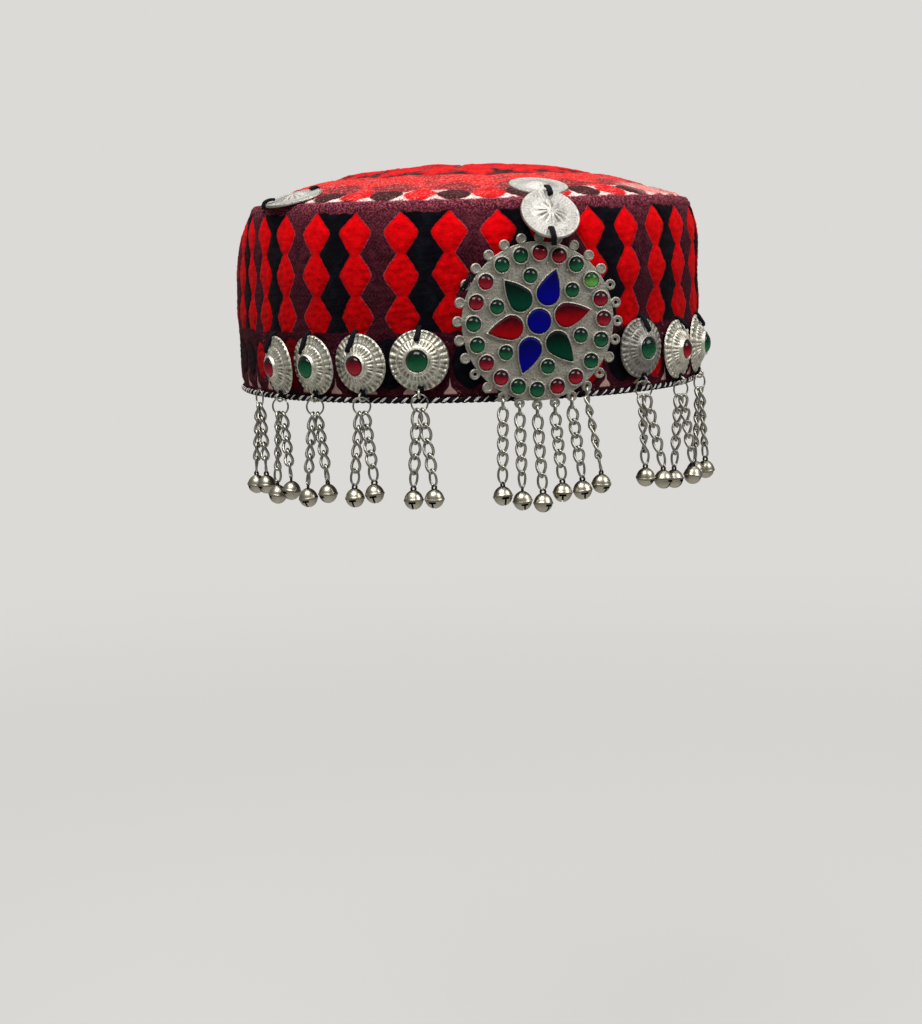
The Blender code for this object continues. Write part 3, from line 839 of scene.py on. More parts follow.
def motif_colour(graph, v, h, textures, black):
    """The lower band: large rounded motifs on maroon, with cream wedges between them at the hem."""
    speckle, tufts, grain, patch = textures
    size, across = motifs(v, h)
    swirl = ease(line_rows(size * 4.0 + (patch - 0.5) * 2.0, 1.0), 0.55, 0.9) * ease(grain, 0.4, 0.6)
    specks = ease(speckle, 0.55, 0.25) * ease(patch, 0.35, 0.6)
    ground = graph.mix(larger(specks, swirl * 0.8) * 0.5, MAROON, MAROON_THREAD)
    ground = graph.mix(ease(line_rows(size * 2.0, 1.0), 0.8, 0.95) * 0.25, ground, (0.12, 0.001, 0.003))

    share = ease(size + (patch - 0.5) * 0.25, 1.04, 0.96)
    share = share * (1.0 - ease(abs(v - 2.5), 0.30, 0.22) * ease(h, 11.0, 12.5))
    black_share = larger(ease(abs(fract(v) - 0.5), 0.24, 0.26), ease(abs(v + 4.5), 0.27, 0.23))
    red = graph.mix(ease(tufts, 0.62, 0.22), RED_DEEP, (0.42, 0.001, 0.002))
    dull = ease(v, -3.05, -2.95) * ease(v, 0.05, -0.05)
    red = graph.mix(dull * 0.85, red, (0.070, 0.0012, 0.0028))
    colour = graph.mix(share, ground, graph.mix(black_share, red, black))

    wedge_width = ease(h, 6.6, 3.6) * 0.066 + ease(h, 9.6, 5.0) * 0.014
    cream_share = ease(0.25 - across - wedge_width, 0.008, -0.008) * ease(h, 9.4, 8.8) * ease(h, 3.2, 3.8)
    cream = graph.mix(grain, (0.44, 0.22, 0.20), (0.74, 0.50, 0.45))
    colour = graph.mix(cream_share * 0.9, colour, cream)
    pink_patch = ease(speckle, 0.20, 0.12) * ease(patch, 0.56, 0.62) * (1.0 - share)
    return graph.mix(pink_patch * 0.4, colour, CREAM)


def band_material():
    graph = Graph("band_embroidery")
    u, h = graph.uv("columns")
    v, _ = graph.uv("motifs")
    textures = speckle, _, grain, patch = cloth_textures(graph, 620.0, 240.0)
    pile = graph.noise(480.0)
    inside = diamonds(u, h)
    depth = inside * COLUMN_WIDTH
    red_share = ease(inside + (pile - 0.5) * 0.05, -0.016, 0.016)
    maroon_column = 1.0 - ease(fract(u * 0.5), 0.499, 0.501)
    rise = ease(h, BORDER_EDGE - 1.0, BORDER_EDGE + 3.5) * 0.5 + 0.5
    border = border_colour(graph, grain, speckle, rise)
    black = graph.mix(ease(patch, 0.45, 0.7) * 0.6, BLACK, BLACK_WORN)
    loops = ease(line_rows((patch - 0.5) * 4.2 - depth, 1.35), 0.25, 0.95) * ease(grain, 0.30, 0.60)

    dark = graph.mix(maroon_column, black, maroon_colour(graph, h, loops, textures, border))
    colour = graph.mix(red_share, dark, plush_red_painted_shade(graph, h, depth, pile, patch))
    outline = ease(abs(depth - 0.05), 0.45, 0.10) * (maroon_column * 0.45 + 0.10) * ease(grain, 0.35, 0.6)
    colour = graph.mix(outline, colour, PINK_THREAD)
    edge = h + sine(u * 24.0) * 0.15 + (patch - 0.5) * 2.4
    colour = graph.mix(ease(edge, BORDER_EDGE - 0.3, BORDER_EDGE + 0.3), colour, border)
    lower = motif_colour(graph, v, h, textures, black)
    colour = graph.mix(ease(edge, ROW_BOTTOM + 0.3, ROW_BOTTOM - 0.3), colour, lower)

    stitches = (1.0 - speckle) * 0.5 + loops * 0.4
    graph.bump(pile * red_share * 1.4 + stitches * (1.0 - red_share) + grain * 0.3, 0.38 * MM, 0.75)
    return graph.cloth(colour, 0.03)


def oval_ring_colour(graph, v, r, textures, stray, red, ground):
    """The crown's outer ring: red and dark ovals by turns, and white thread between them."""
    speckle, _, grain, patch = textures
    dark_oval = ease(abs(fract(v) - 0.5), 0.26, 0.24)
    coarse = graph.mix(ease(speckle, 0.45, 0.15) * 0.7, (0.030, 0.009, 0.010), (0.150, 0.055, 0.055))
    mottled = ease(speckle, 0.50, 0.20) * ease(patch, 0.35, 0.60) * 0.7
    mottled = graph.mix(mottled, red, (0.60, 0.130, 0.110))
    oval = graph.mix(dark_oval, mottled, coarse)
    white = graph.mix(ease(grain, 0.35, 0.6), (0.40, 0.16, 0.14), (0.76, 0.60, 0.56))
    pale_share = larger(ease(r, 79.0, 80.8), ease(patch, 0.50, 0.58) * 0.7)
    between = graph.mix(pale_share, ground, white)
    return graph.mix(ease(ovals(v, r) + stray * 2.6, 1.14, 0.90), between, oval)


def crown_material():
    graph = Graph("crown_embroidery")
    u, r = graph.uv("petals")
    v, _ = graph.uv("ovals")
    w, _ = graph.uv("lozenges")
    textures = speckle, tufts, grain, patch = cloth_textures(graph, 600.0, 200.0)
    cloud = graph.noise(90.0, 3.0)
    stray = (patch - 0.5) * 0.22
    rows = line_rows(r + (patch - 0.5) * 3.0, 1.5)
    plush = rows * 0.30 + ease(tufts, 0.6, 0.2) * 0.40 + ease(patch, 0.3, 0.7) * 0.3
    red = graph.mix(plush, (0.30, 0.003, 0.004), (0.60, 0.012, 0.014))
    pale = ease(speckle, 0.50, 0.15) * ease(cloud, 0.42, 0.58)
    pale = larger(pale, ease(grain, 0.46, 0.64) * 0.6) * (rows * 0.7 + 0.3)
    streaky = graph.mix(pale, red, (0.62, 0.170, 0.140))
    ground = graph.mix(ease(speckle, 0.50, 0.18) * 0.8, (0.090, 0.014, 0.018), (0.380, 0.100, 0.095))
    dark = graph.mix(ease(patch, 0.4, 0.6), (0.012, 0.006, 0.007), (0.070, 0.018, 0.019))

    between = graph.mix(ease(r + stray * 20.0, 33.0, 37.0), ground, dark)
    colour = graph.mix(ease(petals(w, r) + stray * 1.7, -0.11, 0.09), between, red)
    arch = ease(abs(fract(v) - 0.5) * 2.2 + abs(r - 70.5) / 7.0 + stray * 2.0, 1.15, 0.75)
    worn = larger(arch * 0.80, ease(cloud, 0.52, 0.64) * 0.65)
    red_ring = graph.mix(worn, streaky, ground)
    scallop = r + abs(sine(w * math.pi)) * 4.0 + stray * 14.0
    colour = graph.mix(ease(scallop, 50.0, 53.0), colour, red_ring)
    edge = r + (patch - 0.5) * 3.0
    rim = oval_ring_colour(graph, v, r, textures, stray, red, ground)
    colour = graph.mix(ease(edge, 72.8, 73.8), colour, rim)
    # Paler pink in patches over the outer rings of the crown on its right side, at azimuths of about 35 to 90
    # degrees.
    pale_right_side = ease(u, 1.8, 2.4) * ease(u, 5.2, 3.6) * ease(edge + stray * 20.0, 68.0, 73.0)
    pale_pink = graph.mix(ease(grain, 0.35, 0.60), (0.46, 0.140, 0.125), (0.66, 0.36, 0.32))
    colour = graph.mix(pale_right_side * ease(patch, 0.30, 0.50) * 0.62, colour, pale_pink)
    colour = graph.mix(ease(edge, 83.2, 84.0), colour, border_colour(graph, grain, speckle, 1.0))
    heart = ease(r + abs(sine(u * math.pi)) * 1.5, 8.6, 8.0)
    colour = graph.mix(heart, colour, graph.mix(ease(r, 4.6, 4.2), red, BLACK))

    pile = rows * 0.4 + (1.0 - tufts) * 0.8 + (1.0 - speckle) * 0.3 + grain * 0.4
    graph.bump(pile, 0.45 * MM, 0.9)
    return graph.cloth(colour, 0.06)


def lining_material():
    graph = Graph("plain_lining")
    weave = graph.noise(1800.0, 3.0)
    graph.bump(weave, 0.15 * MM)
    graph.look(Base_Color=graph.mix(weave, LINING, (0.10, 0.035, 0.040)), Roughness=0.95)
    return graph.look(Sheen_Weight=0.1, Specular_IOR_Level=0.15)


def thread_material(name, dark, light, sheen, shine):
    graph = Graph(name)
    strands = graph.noise(2600.0)
    graph.bump(strands, 0.12 * MM)
    graph.look(Base_Color=graph.mix(strands, dark, light), Roughness=0.75)
    return graph.look(Sheen_Weight=sheen, Specular_IOR_Level=shine)


def silver_material(name, roughness, grain_scale, grain_height, tarnish, colour, spots):
    """Old silver: warm grey, grainy, darker in the hollows that the tone attribute marks."""
    graph = Graph(name)
    grain = graph.noise(grain_scale, 4.0)
    patch = graph.noise(320.0, 3.0)
    hollow = 1.0 - graph.tone()
    dirt = hollow * tarnish + ease(patch, 0.48, 0.75) * 0.30 + ease(grain, 0.52, 0.36) * spots
    dirt = limited(dirt)
    graph.bump(grain, grain_height, 0.7)
    graph.look(Base_Color=graph.mix(dirt, colour, tuple(map(min, colour, SILVER_DARK))), Metallic=1.0)
    return graph.look(Roughness=grain * 0.25 + (roughness - 0.10) + dirt * 0.2)


def glass_material(name, dark, bright, coat, specular):
    """Deep glass over foil, with a painted glow: darker on top and brighter in its lower half, as light that
    enters from above would make it.
    """
    graph = Graph(name)
    painted_glow = ease(graph.normal_up() * -1.0 + graph.tone(), -0.45, 0.75)
    cloud = graph.noise(500.0) - 0.5
    graph.look(Base_Color=graph.mix(limited(painted_glow + cloud * 0.5), dark, bright), Roughness=0.4)
    return graph.look(Coat_Weight=coat, Coat_Roughness=0.04, Coat_IOR=1.45, Specular_IOR_Level=specular)


def make_materials():
    materials = {"band": band_material(), "crown": crown_material(), "lining": lining_material()}
    for key, row in THREADS.items():
        materials[key] = thread_material(key, *row)
    for key, row in SILVERS.items():
        materials[key] = silver_material(*row)
    for key, row in GLASSES.items():
        materials[key] = glass_material(f"{key}_glass", *row)
    return materials


# Cloth

def beside(azimuth, middle, spread):
    """1 at an azimuth, fading to 0 away from it on both sides."""
    away = (azimuth - middle + 180.0) % 360.0 - 180.0
    return np.exp(-(away / spread) ** 2)


def slump(azimuth):
    """How far the top edge has slumped inwards and down at an azimuth."""
    inwards = sum(beside(azimuth, middle, spread) * size for middle, spread, size, _ in SLUMPS)
    down = sum(beside(azimuth, middle, spread) * size for middle, spread, _, size in SLUMPS)
    return inwards, down


def swell(azimuth):
    return SWELL * beside(azimuth, SWELL_AZIMUTH, SWELL_SPREAD)


def round_the_cap(count):
    """Angles round the cap, and the same in degrees with the seam at the back at both ends."""
    angle = np.linspace(-math.pi, math.pi, count, endpoint=False)
    return angle, np.degrees(np.append(angle, math.pi))


def cap_points(radius, angle, z):
    return np.stack([radius * np.sin(angle), -radius * np.cos(angle), z], axis=-1)


def band_relief(angle, u, v, height):
    """How far the embroidery stands out of the wall."""
    uu, hh = np.meshgrid(u, height)
    vv, _ = np.meshgrid(v, height)
    aa, _ = np.meshgrid(angle, height)
    inside = diamonds(uu, hh)
    cushion = ease(np.abs(inside), 0.0, 0.13)
    field_zone = ease(hh, ROW_BOTTOM - 0.6, ROW_BOTTOM + 0.6) * ease(hh, BORDER_EDGE + 0.6, BORDER_EDGE - 0.6)
    size, _ = motifs(vv, hh)
    lower_zone = ease(hh, ROW_BOTTOM + 0.4, ROW_BOTTOM - 0.4) * ease(hh, 3.5, 6.0)
    border_zone = ease(hh, BORDER_EDGE - 0.3, BORDER_EDGE + 1.2)
    relief = PUFF * cushion * field_zone * np.where(inside > 0.0, 1.25, 0.9)
    relief += PUFF * ease(np.abs(size - 1.0), 0.0, 0.35) * lower_zone
    relief += PUFF * 1.1 * border_zone
    relief += 0.10 * MM * ripple(aa, hh * 0.6, 3, 20, 60.0)
    return relief + 0.28 * MM * ripple(aa, hh * 0.05, 5, 10, 6.0)


def build_band(materials):
    outer = smooth_line(BAND_OUTER, BAND_ROWS)
    inner = smooth_line([BAND_OUTER[-1], *BAND_INNER], BAND_INNER_ROWS + 1)[1:]
    line = np.vstack([outer, inner])
    angle, azimuth = round_the_cap(BAND_COLUMNS)
    u = column_place(azimuth)
    v = motif_place(azimuth)
    height = outer[:, 1] / MM
    radius = np.empty((len(line), BAND_COLUMNS))
    radius[:BAND_ROWS] = outer[:, :1] + band_relief(angle, u[:-1], v[:-1], height)
    radius[BAND_ROWS:] = inner[:, :1]
    above = np.clip((line[:, 1:] / MM - 40.0) / 30.0, 0.0, 1.0)
    inwards, down = slump(azimuth[:-1])
    radius -= inwards * above ** 2
    radius += swell(azimuth[:-1]) * ease(line[:, 1:] / MM, 30.0, 52.0)
    z = line[:, 1:] + HEM_Z - down * above ** 2
    along = np.concatenate([height, np.full(len(inner), SEAM_HEIGHT / MM)])
    looks = np.repeat([0, 1], [BAND_ROWS, BAND_INNER_ROWS])
    uv_sets = {"columns": (u, along), "motifs": (v, along)}
    skins = [materials["band"], materials["lining"]]
    band = cloth_grid("cap_band", cap_points(radius, angle, z), uv_sets, skins, looks)
    finish_piece(band, "band_cloth", "side_band")


def dome_height(radius):
    return SEAM_HEIGHT + DOME_RISE * (1.0 - (radius / SEAM_RADIUS) ** 2)


def crown_top(angle, v, w, radii):
    """Heights of the dome with its embroidery, over rings of points."""
    rr, vv = np.meshgrid(radii / MM, v, indexing="ij")
    _, ww = np.meshgrid(radii / MM, w, indexing="ij")
    aa = np.broadcast_to(angle, rr.shape)
    relief = 0.6 * MM * ease(petals(ww, rr), -0.05, 0.15) * ease(rr, 56.0, 50.0) * ease(rr, 4.0, 10.0)
    relief += 0.6 * MM * ease(rr, 50.0, 56.0) * ease(rr, 73.0, 69.0)
    relief += 0.5 * MM * ease(ovals(vv, rr), 1.1, 0.5) * ease(rr, 72.0, 74.0)
    relief += 0.10 * MM * ripple(aa, rr * 0.5, 11, 20, 50.0) * ease(rr, 6.0, 30.0)
    wave = ripple(rr * np.cos(aa) * 0.045, rr * np.sin(aa) * 0.045, 7, 12, 5.0)
    relief += 0.30 * MM * wave * ease(rr, 84.0, 70.0)
    edge_roll = -0.9 * MM * ease(rr, 82.6, 84.9)
    return dome_height(rr * MM) + relief + edge_roll


def build_crown(materials):
    steps = np.linspace(1.0, 0.0, CROWN_RINGS)
    radii = CROWN_EDGE * steps + CROWN_MIDDLE * (1.0 - steps)
    under = np.linspace(CROWN_MIDDLE, CROWN_UNDER_EDGE, 10)
    angle, azimuth = round_the_cap(CROWN_SECTORS)
    u = azimuth / PETAL_PERIOD
    v = (azimuth - OVAL_FIRST) / PETAL_PERIOD
    w = (azimuth - LOZENGE_FIRST) / LOZENGE_PERIOD
    top = crown_top(angle, v[:-1], w[:-1], radii)
    bottom = np.repeat((dome_height(under) - WALL)[:, None], CROWN_SECTORS, axis=1)
    level = np.concatenate([radii, under])[:, None]
    rim_share = ease(level / MM, 45.0, 84.0)
    inwards, down = slump(azimuth[:-1])
    radius = level - inwards * rim_share
    radius = radius + swell(azimuth[:-1]) * rim_share
    z = np.vstack([top, bottom]) + HEM_Z - down * rim_share
    z[CROWN_RINGS - 1] = z[CROWN_RINGS - 1].mean()
    along = np.concatenate([radii / MM, under / MM])[::-1]
    looks = np.roll(np.repeat([1, 0], [len(under) + 1, CROWN_RINGS - 1]), -1)
    uv_sets = {"petals": (u, along), "ovals": (v, along), "lozenges": (w, along)}
    skins = [materials["crown"], materials["lining"]]
    crown = cloth_grid("cap_crown", cap_points(radius, angle, z)[::-1], uv_sets, skins, looks)
    finish_piece(crown, "crown_cloth", "crown")


def build_cord(materials):
    """The black cord of two twisted strands."""
    cord = Shape()
    angle = np.linspace(0, 2 * math.pi, CORD_POINTS, endpoint=False)
    for strand in range(2):
        twist = angle * CORD_TWISTS + strand * math.pi
        radius = CORD_CENTER_RADIUS + STRAND_OFFSET * np.cos(twist)
        z = HEM_Z + CORD_RADIUS + STRAND_OFFSET * np.sin(twist)
        cord.take(tube(cap_points(radius, angle, z), STRAND_RADIUS, 6, closed=True))
    cord.piece("hem_twisted_cord", [materials["black_thread"]], 80.0, "black_cord", "hem_cord")


def stitch_path(place, lean):
    """One whip stitch, from under the cord up round its outer side."""
    path = []
    for step in range(len(STITCH_TAPER)):
        share = step / (len(STITCH_TAPER) - 1)
        swing = math.radians(STITCH_START + STITCH_SWEEP * share)
        radius = CORD_CENTER_RADIUS + STITCH_OUT * math.cos(swing)
        rise = STITCH_UP * math.sin(swing)
        spin = math.radians(place + lean * (share - 0.5))
        path.append((radius * math.sin(spin), -radius * math.cos(spin), HEM_Z + CORD_RADIUS + rise))
    return path


def build_hem_stitches(materials):
    picker = random.Random(4)
    stitches = Shape()
    for index in range(HEM_STITCHES):
        start = 360.0 * (index + picker.uniform(-0.16, 0.16)) / HEM_STITCHES
        strands = 2 if picker.random() < 0.45 else 1
        for strand in range(strands):
            path = stitch_path(start + strand * 0.40, picker.uniform(1.0, 1.7))
            radii = HEM_THREAD * picker.uniform(0.85, 1.1) * STITCH_TAPER
            stitches.take(tube(path, radii, 6))
    stitches.piece("hem_whip_stitches", [materials["white_thread"]], 80.0, "black_cord")


# Central plate

def polar(radius, clock_angle):
    angle = math.radians(clock_angle)
    return radius * math.sin(angle), radius * math.cos(angle)


def loop_angle(index):
    return LOOP_TURN + 360.0 * index / LOOP_COUNT


def arc_points(x, y, radius, start, end, count):
    points = []
    for step in range(count):
        dx, dy = polar(radius, start + (end - start) * step / (count - 1))
        points.append((x + dx, y + dy))
    return points


def plate_outline():
    half_neck = math.degrees(NECK_WIDTH / 2 / PLATE_RADIUS)
    points = []
    for index in range(LOOP_COUNT):
        spin = loop_angle(index)
        x, y = polar(LOOP_CENTER_RADIUS, spin)
        points += arc_points(x, y, LOOP_RADIUS, spin - LOOP_HALF_ARC, spin + LOOP_HALF_ARC, 17)
        after = loop_angle(index + 1)
        points += arc_points(0.0, 0.0, PLATE_RADIUS, spin + half_neck, after - half_neck, 6)
    return points


def petal_line(clock_angle, grow):
    """A smooth drop shape with its round end to the middle and its tip outwards."""
    round_radius = PETAL_ROUND + grow
    center = PETAL_START + PETAL_ROUND
    tip = PETAL_START + PETAL_LENGTH + 1.6 * grow
    side = [(0.0, tip), (0.30 * round_radius, center + 0.80 * (tip - center))]
    side.append((0.64 * round_radius, center + 0.53 * (tip - center)))
    for swing in (78.0, 105.0, 130.0, 155.0, 180.0):
        dx, dy = polar(round_radius, swing)
        side.append((dx, center + dy))
    half = smooth_line(side, PETAL_POINTS // 2 + 1)
    x, y = np.vstack([half, (half * [-1.0, 1.0])[-2:0:-1]]).T
    cos, sin = math.cos(math.radians(clock_angle)), math.sin(math.radians(clock_angle))
    return np.stack([x * cos + y * sin, y * cos - x * sin], axis=1)


def round_line(radius, x=0.0, y=0.0, count=40):
    return round_path(radius, count)[:, :2] + [x, y]


def filled_plate(name, outline, holes, thickness, rounding):
    """A flat sheet with rounded edges and holes, from its outline."""
    curve = bpy.data.curves.new(name, "CURVE")
    curve.dimensions = "2D"
    curve.fill_mode = "BOTH"
    curve.extrude = thickness / 2 - rounding
    curve.bevel_depth = rounding
    curve.bevel_resolution = 2
    for line in [outline, *holes]:
        spline = curve.splines.new("POLY")
        spline.points.add(len(line) - 1)
        for point, (x, y) in zip(spline.points, line):
            point.co = (x, y, 0.0, 1.0)
        spline.use_cyclic_u = True
    obj = add_object(name, curve)
    mesh = bpy.data.meshes.new_from_object(obj)
    bpy.data.objects.remove(obj, do_unlink=True)
    points = np.array([vertex.co[:] for vertex in mesh.vertices])
    points[:, 2] += thickness / 2
    faces = [tuple(polygon.vertices) for polygon in mesh.polygons]
    bpy.data.meshes.remove(mesh)
    return Shape().add(points, faces)


def rings_between(lines):
    """A skin through outlines of the same number of points, each with its own height."""
    points = [(x, y, z) for line, z in lines for x, y in line]
    return Shape().add(points, ring_faces(len(lines), len(lines[0][0])))


def bezel(inner, outer):
    """The low wall that holds a stone, with a soft rolled lip."""
    low = PLATE_THICKNESS * 0.6
    top = PLATE_THICKNESS + BEZEL_HEIGHT
    middle = (inner + outer) / 2
    flare = outer + (outer - inner) * 0.7
    lines = [(flare, low), (outer, low + 0.55 * MM), (outer, top - 0.12 * MM), (middle, top)]
    lines += [(inner, top - 0.12 * MM), (inner, low)]
    return rings_between(lines)


def round_bezel(radius, x=0.0, y=0.0):
    inner = radius + BEZEL_ROOM
    return bezel(round_line(inner, x, y), round_line(inner + BEZEL_WALL, x, y))


def flat_glass(outline_at, tone_low, tone_high):
    """A nearly flat stone: an outline at several insets, rising to its table, with a painted glow that makes
    it brighter at the bottom.
    """
    low = PLATE_THICKNESS + 0.2 * MM
    steps = [(0.0, 0.0), (0.0, 0.60), (-0.15 * MM, 0.76), (-0.55 * MM, 0.90), (-0.9 * MM, 0.94)]
    lines = [(outline_at(inset), low + share * FLAT_STONE_HEIGHT) for inset, share in steps]
    edge = lines[-1][0]
    middle = edge.mean(axis=0)
    for size, share in ((0.78, 0.97), (0.52, 0.99), (0.26, 1.0), (0.06, 1.0)):
        lines.append((middle + (edge - middle) * size, low + share * FLAT_STONE_HEIGHT))
    skin = rings_between(lines)
    count = len(edge)
    faces = [tuple(range((len(lines) - 1) * count, len(lines) * count)), tuple(range(count))[::-1]]
    # tones for the painted glow: from tone_low at the top of the stone to tone_high at its bottom
    heights = np.array(skin.points)[:, 1]
    share = (heights.max() - heights) / (heights.max() - heights.min())
    tones = tone_low + (tone_high - tone_low) * share
    return Shape().add(skin.points, skin.faces + faces, 0, tones.tolist())


def cabochon(radius, base, height, sides=32):
    """A domed stone that stands on its flat base."""
    profile = [(0.0, base), (radius * 0.96, base), (radius, base + 0.12 * height)]
    for step in range(1, 9):
        angle = math.radians(90.0 * step / 9)
        profile.append((radius * math.cos(angle), base + height * (0.12 + 0.88 * math.sin(angle))))
    profile.append((0.0, base + height))
    return lathe(profile, sides, tone=0.0)


def inner_place(index):
    return polar(INNER_RING_RADIUS, INNER_FIRST + PETAL_STEP * index)


def plate_with_loops():
    """The flat plate and the wires round its edge loops."""
    loops = [polar(LOOP_CENTER_RADIUS, loop_angle(index)) for index in range(LOOP_COUNT)]
    holes = [round_line(LOOP_HOLE_RADIUS, *loops[index], count=16)[::-1] for index in PIERCED_LOOPS]
    plate = filled_plate("plate", plate_outline(), holes, PLATE_THICKNESS, 0.18 * MM)
    rim = tube(round_path(LOOP_RADIUS - 0.26 * MM, 24), LOOP_WIRE, 6, closed=True)
    for x, y in loops:
        plate.take(rim, shift(x, y, PLATE_THICKNESS - 0.02 * MM))
    return plate


def add_settings(plate):
    """The walls round the stones."""
    plate.take(round_bezel(CENTER_STONE_RADIUS))
    for index in range(PETAL_COUNT):
        spin = PETAL_FIRST + PETAL_STEP * index
        plate.take(bezel(petal_line(spin, BEZEL_ROOM), petal_line(spin, BEZEL_ROOM + BEZEL_WALL)))
        plate.take(round_bezel(INNER_STONE_RADIUS, *inner_place(index)))
    for spin, _ in OUTER_STONES:
        plate.take(round_bezel(OUTER_STONE_RADIUS, *polar(OUTER_RING_RADIUS, spin)))


def add_beads(plate):
    """Small silver beads strewn between the settings."""
    picker = random.Random(12)
    for _ in range(BEAD_COUNT):
        x, y = polar(picker.choice(BEAD_RINGS) * MM, picker.uniform(0, 360))
        size = picker.uniform(0.3, 0.5) * MM
        plate.take(lathe(scaled(BEAD_LINE, size), 10), shift(x, y, PLATE_THICKNESS + size * 0.35))


def build_plate_stones(materials, place):
    """The round stone and its six petals, and the six small domed stones between them."""
    stone = flat_glass(lambda inset: round_line(CENTER_STONE_RADIUS + inset), 0.0, 0.5)
    stone.piece("blue_center_stone", [materials["blue"]], 40.0, "blue_glass", "center_stone", place=place)
    for index in range(PETAL_COUNT):
        spin = PETAL_FIRST + PETAL_STEP * index
        look, slot = PETAL_GLASSES[index % len(PETAL_GLASSES)]
        stone = flat_glass(lambda inset: petal_line(spin, inset), -0.45, 0.75)
        names = (f"petal_glass_{index + 1}", f"petal_stone_{index + 1}")
        stone.piece(names[0], [materials[look]], 40.0, slot, names[1], place=place)
    stone = cabochon(INNER_STONE_RADIUS, PLATE_THICKNESS + 0.2 * MM, INNER_STONE_HEIGHT)
    for index in range(PETAL_COUNT):
        x, y = inner_place(index)
        names = (f"inner_glass_{index + 1}", f"inner_stone_{index + 1}")
        look = [materials["green"]]
        stone.piece(names[0], look, 40.0, "green_glass", names[1], place=place @ shift(x, y, 0.0))


def plate_place():
    return wall_frame(0.0, PLATE_BACK, PLATE_CENTER_HEIGHT)


def build_plate(materials):
    place = plate_place()
    plate = plate_with_loops()
    add_settings(plate)
    add_beads(plate)
    stone = cabochon(OUTER_STONE_RADIUS, PLATE_THICKNESS + 0.1 * MM, OUTER_STONE_HEIGHT, 28)
    for spin, glass in OUTER_STONES:
        x, y = polar(OUTER_RING_RADIUS, spin)
        plate.take(stone, shift(x, y, 0.0), look=PLATE_LOOKS.index(glass))
    looks = [materials[name] for name in PLATE_LOOKS]
    plate.piece("plate_with_settings", looks, 40.0, "silver", "center_plate", place=place)
    build_plate_stones(materials, place)


# Medallions and coins

def disc_skin(radii, face, tones, back, closed=False):
    """A thin disc: heights and tones over its face, and radius and height of each ring of its back."""
    angle = even_angles(face.shape[1])
    rings = [*zip(radii, face), *back]
    points = [np.stack([r * np.cos(angle), r * np.sin(angle), np.broadcast_to(z, angle.shape)], axis=1)
              for r, z in rings]
    tones = np.vstack([tones, np.ones((len(back), len(angle)))])
    faces = ring_faces(len(rings), len(angle), wrap_rows=closed)
    return Shape().add(np.concatenate(points), faces, 0, tones.ravel().tolist())


def ribbed_disc(radii, heights, depths, back):
    """A thin disc whose face has ribs, with the depth of the ribs at each radius."""
    angle = even_angles(MEDALLION_SIDES)
    wave = (0.5 + 0.5 * np.cos(MEDALLION_RIBS * angle + 0.9 * np.sin(5 * angle + 1.3))) ** 0.8
    wave = wave * (0.80 + 0.13 * np.sin(11 * angle) + 0.07 * np.sin(17 * angle + 2.0))
    face = heights[:, None] + depths[:, None] * (wave[None, :] - 0.5)
    tones = 1.0 - 0.85 * (1.0 - wave[None, :]) * np.clip(depths[:, None] / depths.max(), 0, 1)
    return disc_skin(radii, face, tones, back)


def medallion_shape(grow):
    """A domed disc with two rings of ribs, a collar for its stone and an eye at its foot."""
    inner = MEDALLION_COLLAR + grow
    radii = np.linspace(inner, MEDALLION_RADIUS, MEDALLION_RINGS)
    share = (radii - inner) / (MEDALLION_RADIUS - inner)
    heights = 0.62 * MM + 3.1 * MM * (1.0 - share) ** 1.15
    heights += 0.30 * MM * np.exp(-((share - 0.93) / 0.06) ** 2)
    heights -= 0.30 * MM * np.exp(-((share - 0.49) / 0.05) ** 2)
    depths = 0.60 * MM * np.exp(-((share - 0.28) / 0.16) ** 4)
    depths += 0.62 * MM * np.exp(-((share - 0.80) / 0.23) ** 4)
    back = [(MEDALLION_RADIUS, 0.15 * MM), (MEDALLION_RADIUS - 0.4 * MM, 0.0), (inner, 0.0)]
    shape = ribbed_disc(radii, heights, depths, back)
    top = MEDALLION_SEAT + 0.9 * MM
    collar = [(0.0, 0.0), (inner, 0.0), (inner + 0.1 * MM, heights[0] - 0.5 * MM)]
    lip = [(4.7, heights[0] + 0.1 * MM), (4.55, top - 0.3 * MM), (4.35, top)]
    lip += [(4.1, top - 0.05 * MM), (3.95, top - 0.4 * MM), (3.9, MEDALLION_SEAT)]
    collar += [(radius * MM + grow, height) for radius, height in lip]
    shape.take(lathe([*collar, (0.0, MEDALLION_SEAT)], 48))
    eye = tube(round_path(EYE_RADIUS, 20), WIRE, 8, closed=True)
    return shape.take(eye, shift(0.0, -EYE_DROP, EYE_OUT) @ turn(90.0, "Y"))


def medallion_frame(azimuth, height, swing, lean):
    """The disc turns and leans about its eye, as in the part."""
    eye = shift(0.0, -EYE_DROP, EYE_OUT)
    tilt = turn(math.copysign(swing, azimuth), "Y") @ turn(lean, "X")
    return wall_frame(azimuth, PLATE_BACK, height) @ eye @ tilt @ eye.inverted()


def build_medallions(materials):
    for name, row in MEDALLIONS.items():
        place = medallion_frame(*row)
        glass, slot, grow = ODD_GLASS if int(name[-1]) % 2 else EVEN_GLASS
        # the medallion in shadow takes the copy of the silver darkened by painted shade
        metal = materials["ribbed_painted_shade" if name == MEDALLION_IN_PAINTED_SHADE else "ribbed"]
        disc = medallion_shape(grow)
        disc.piece(f"ribbed_medallion_{name}", [metal], 60.0, "silver", f"medallion_{name}", place=place)
        radius = MEDALLION_STONE_RADIUS + grow
        stone = cabochon(radius, MEDALLION_SEAT + 0.05 * MM, MEDALLION_STONE_HEIGHT, 36)
        names = (f"medallion_glass_{name}", f"medallion_stone_{name}")
        stone.piece(names[0], [materials[glass]], 40.0, slot, names[1], place=place)


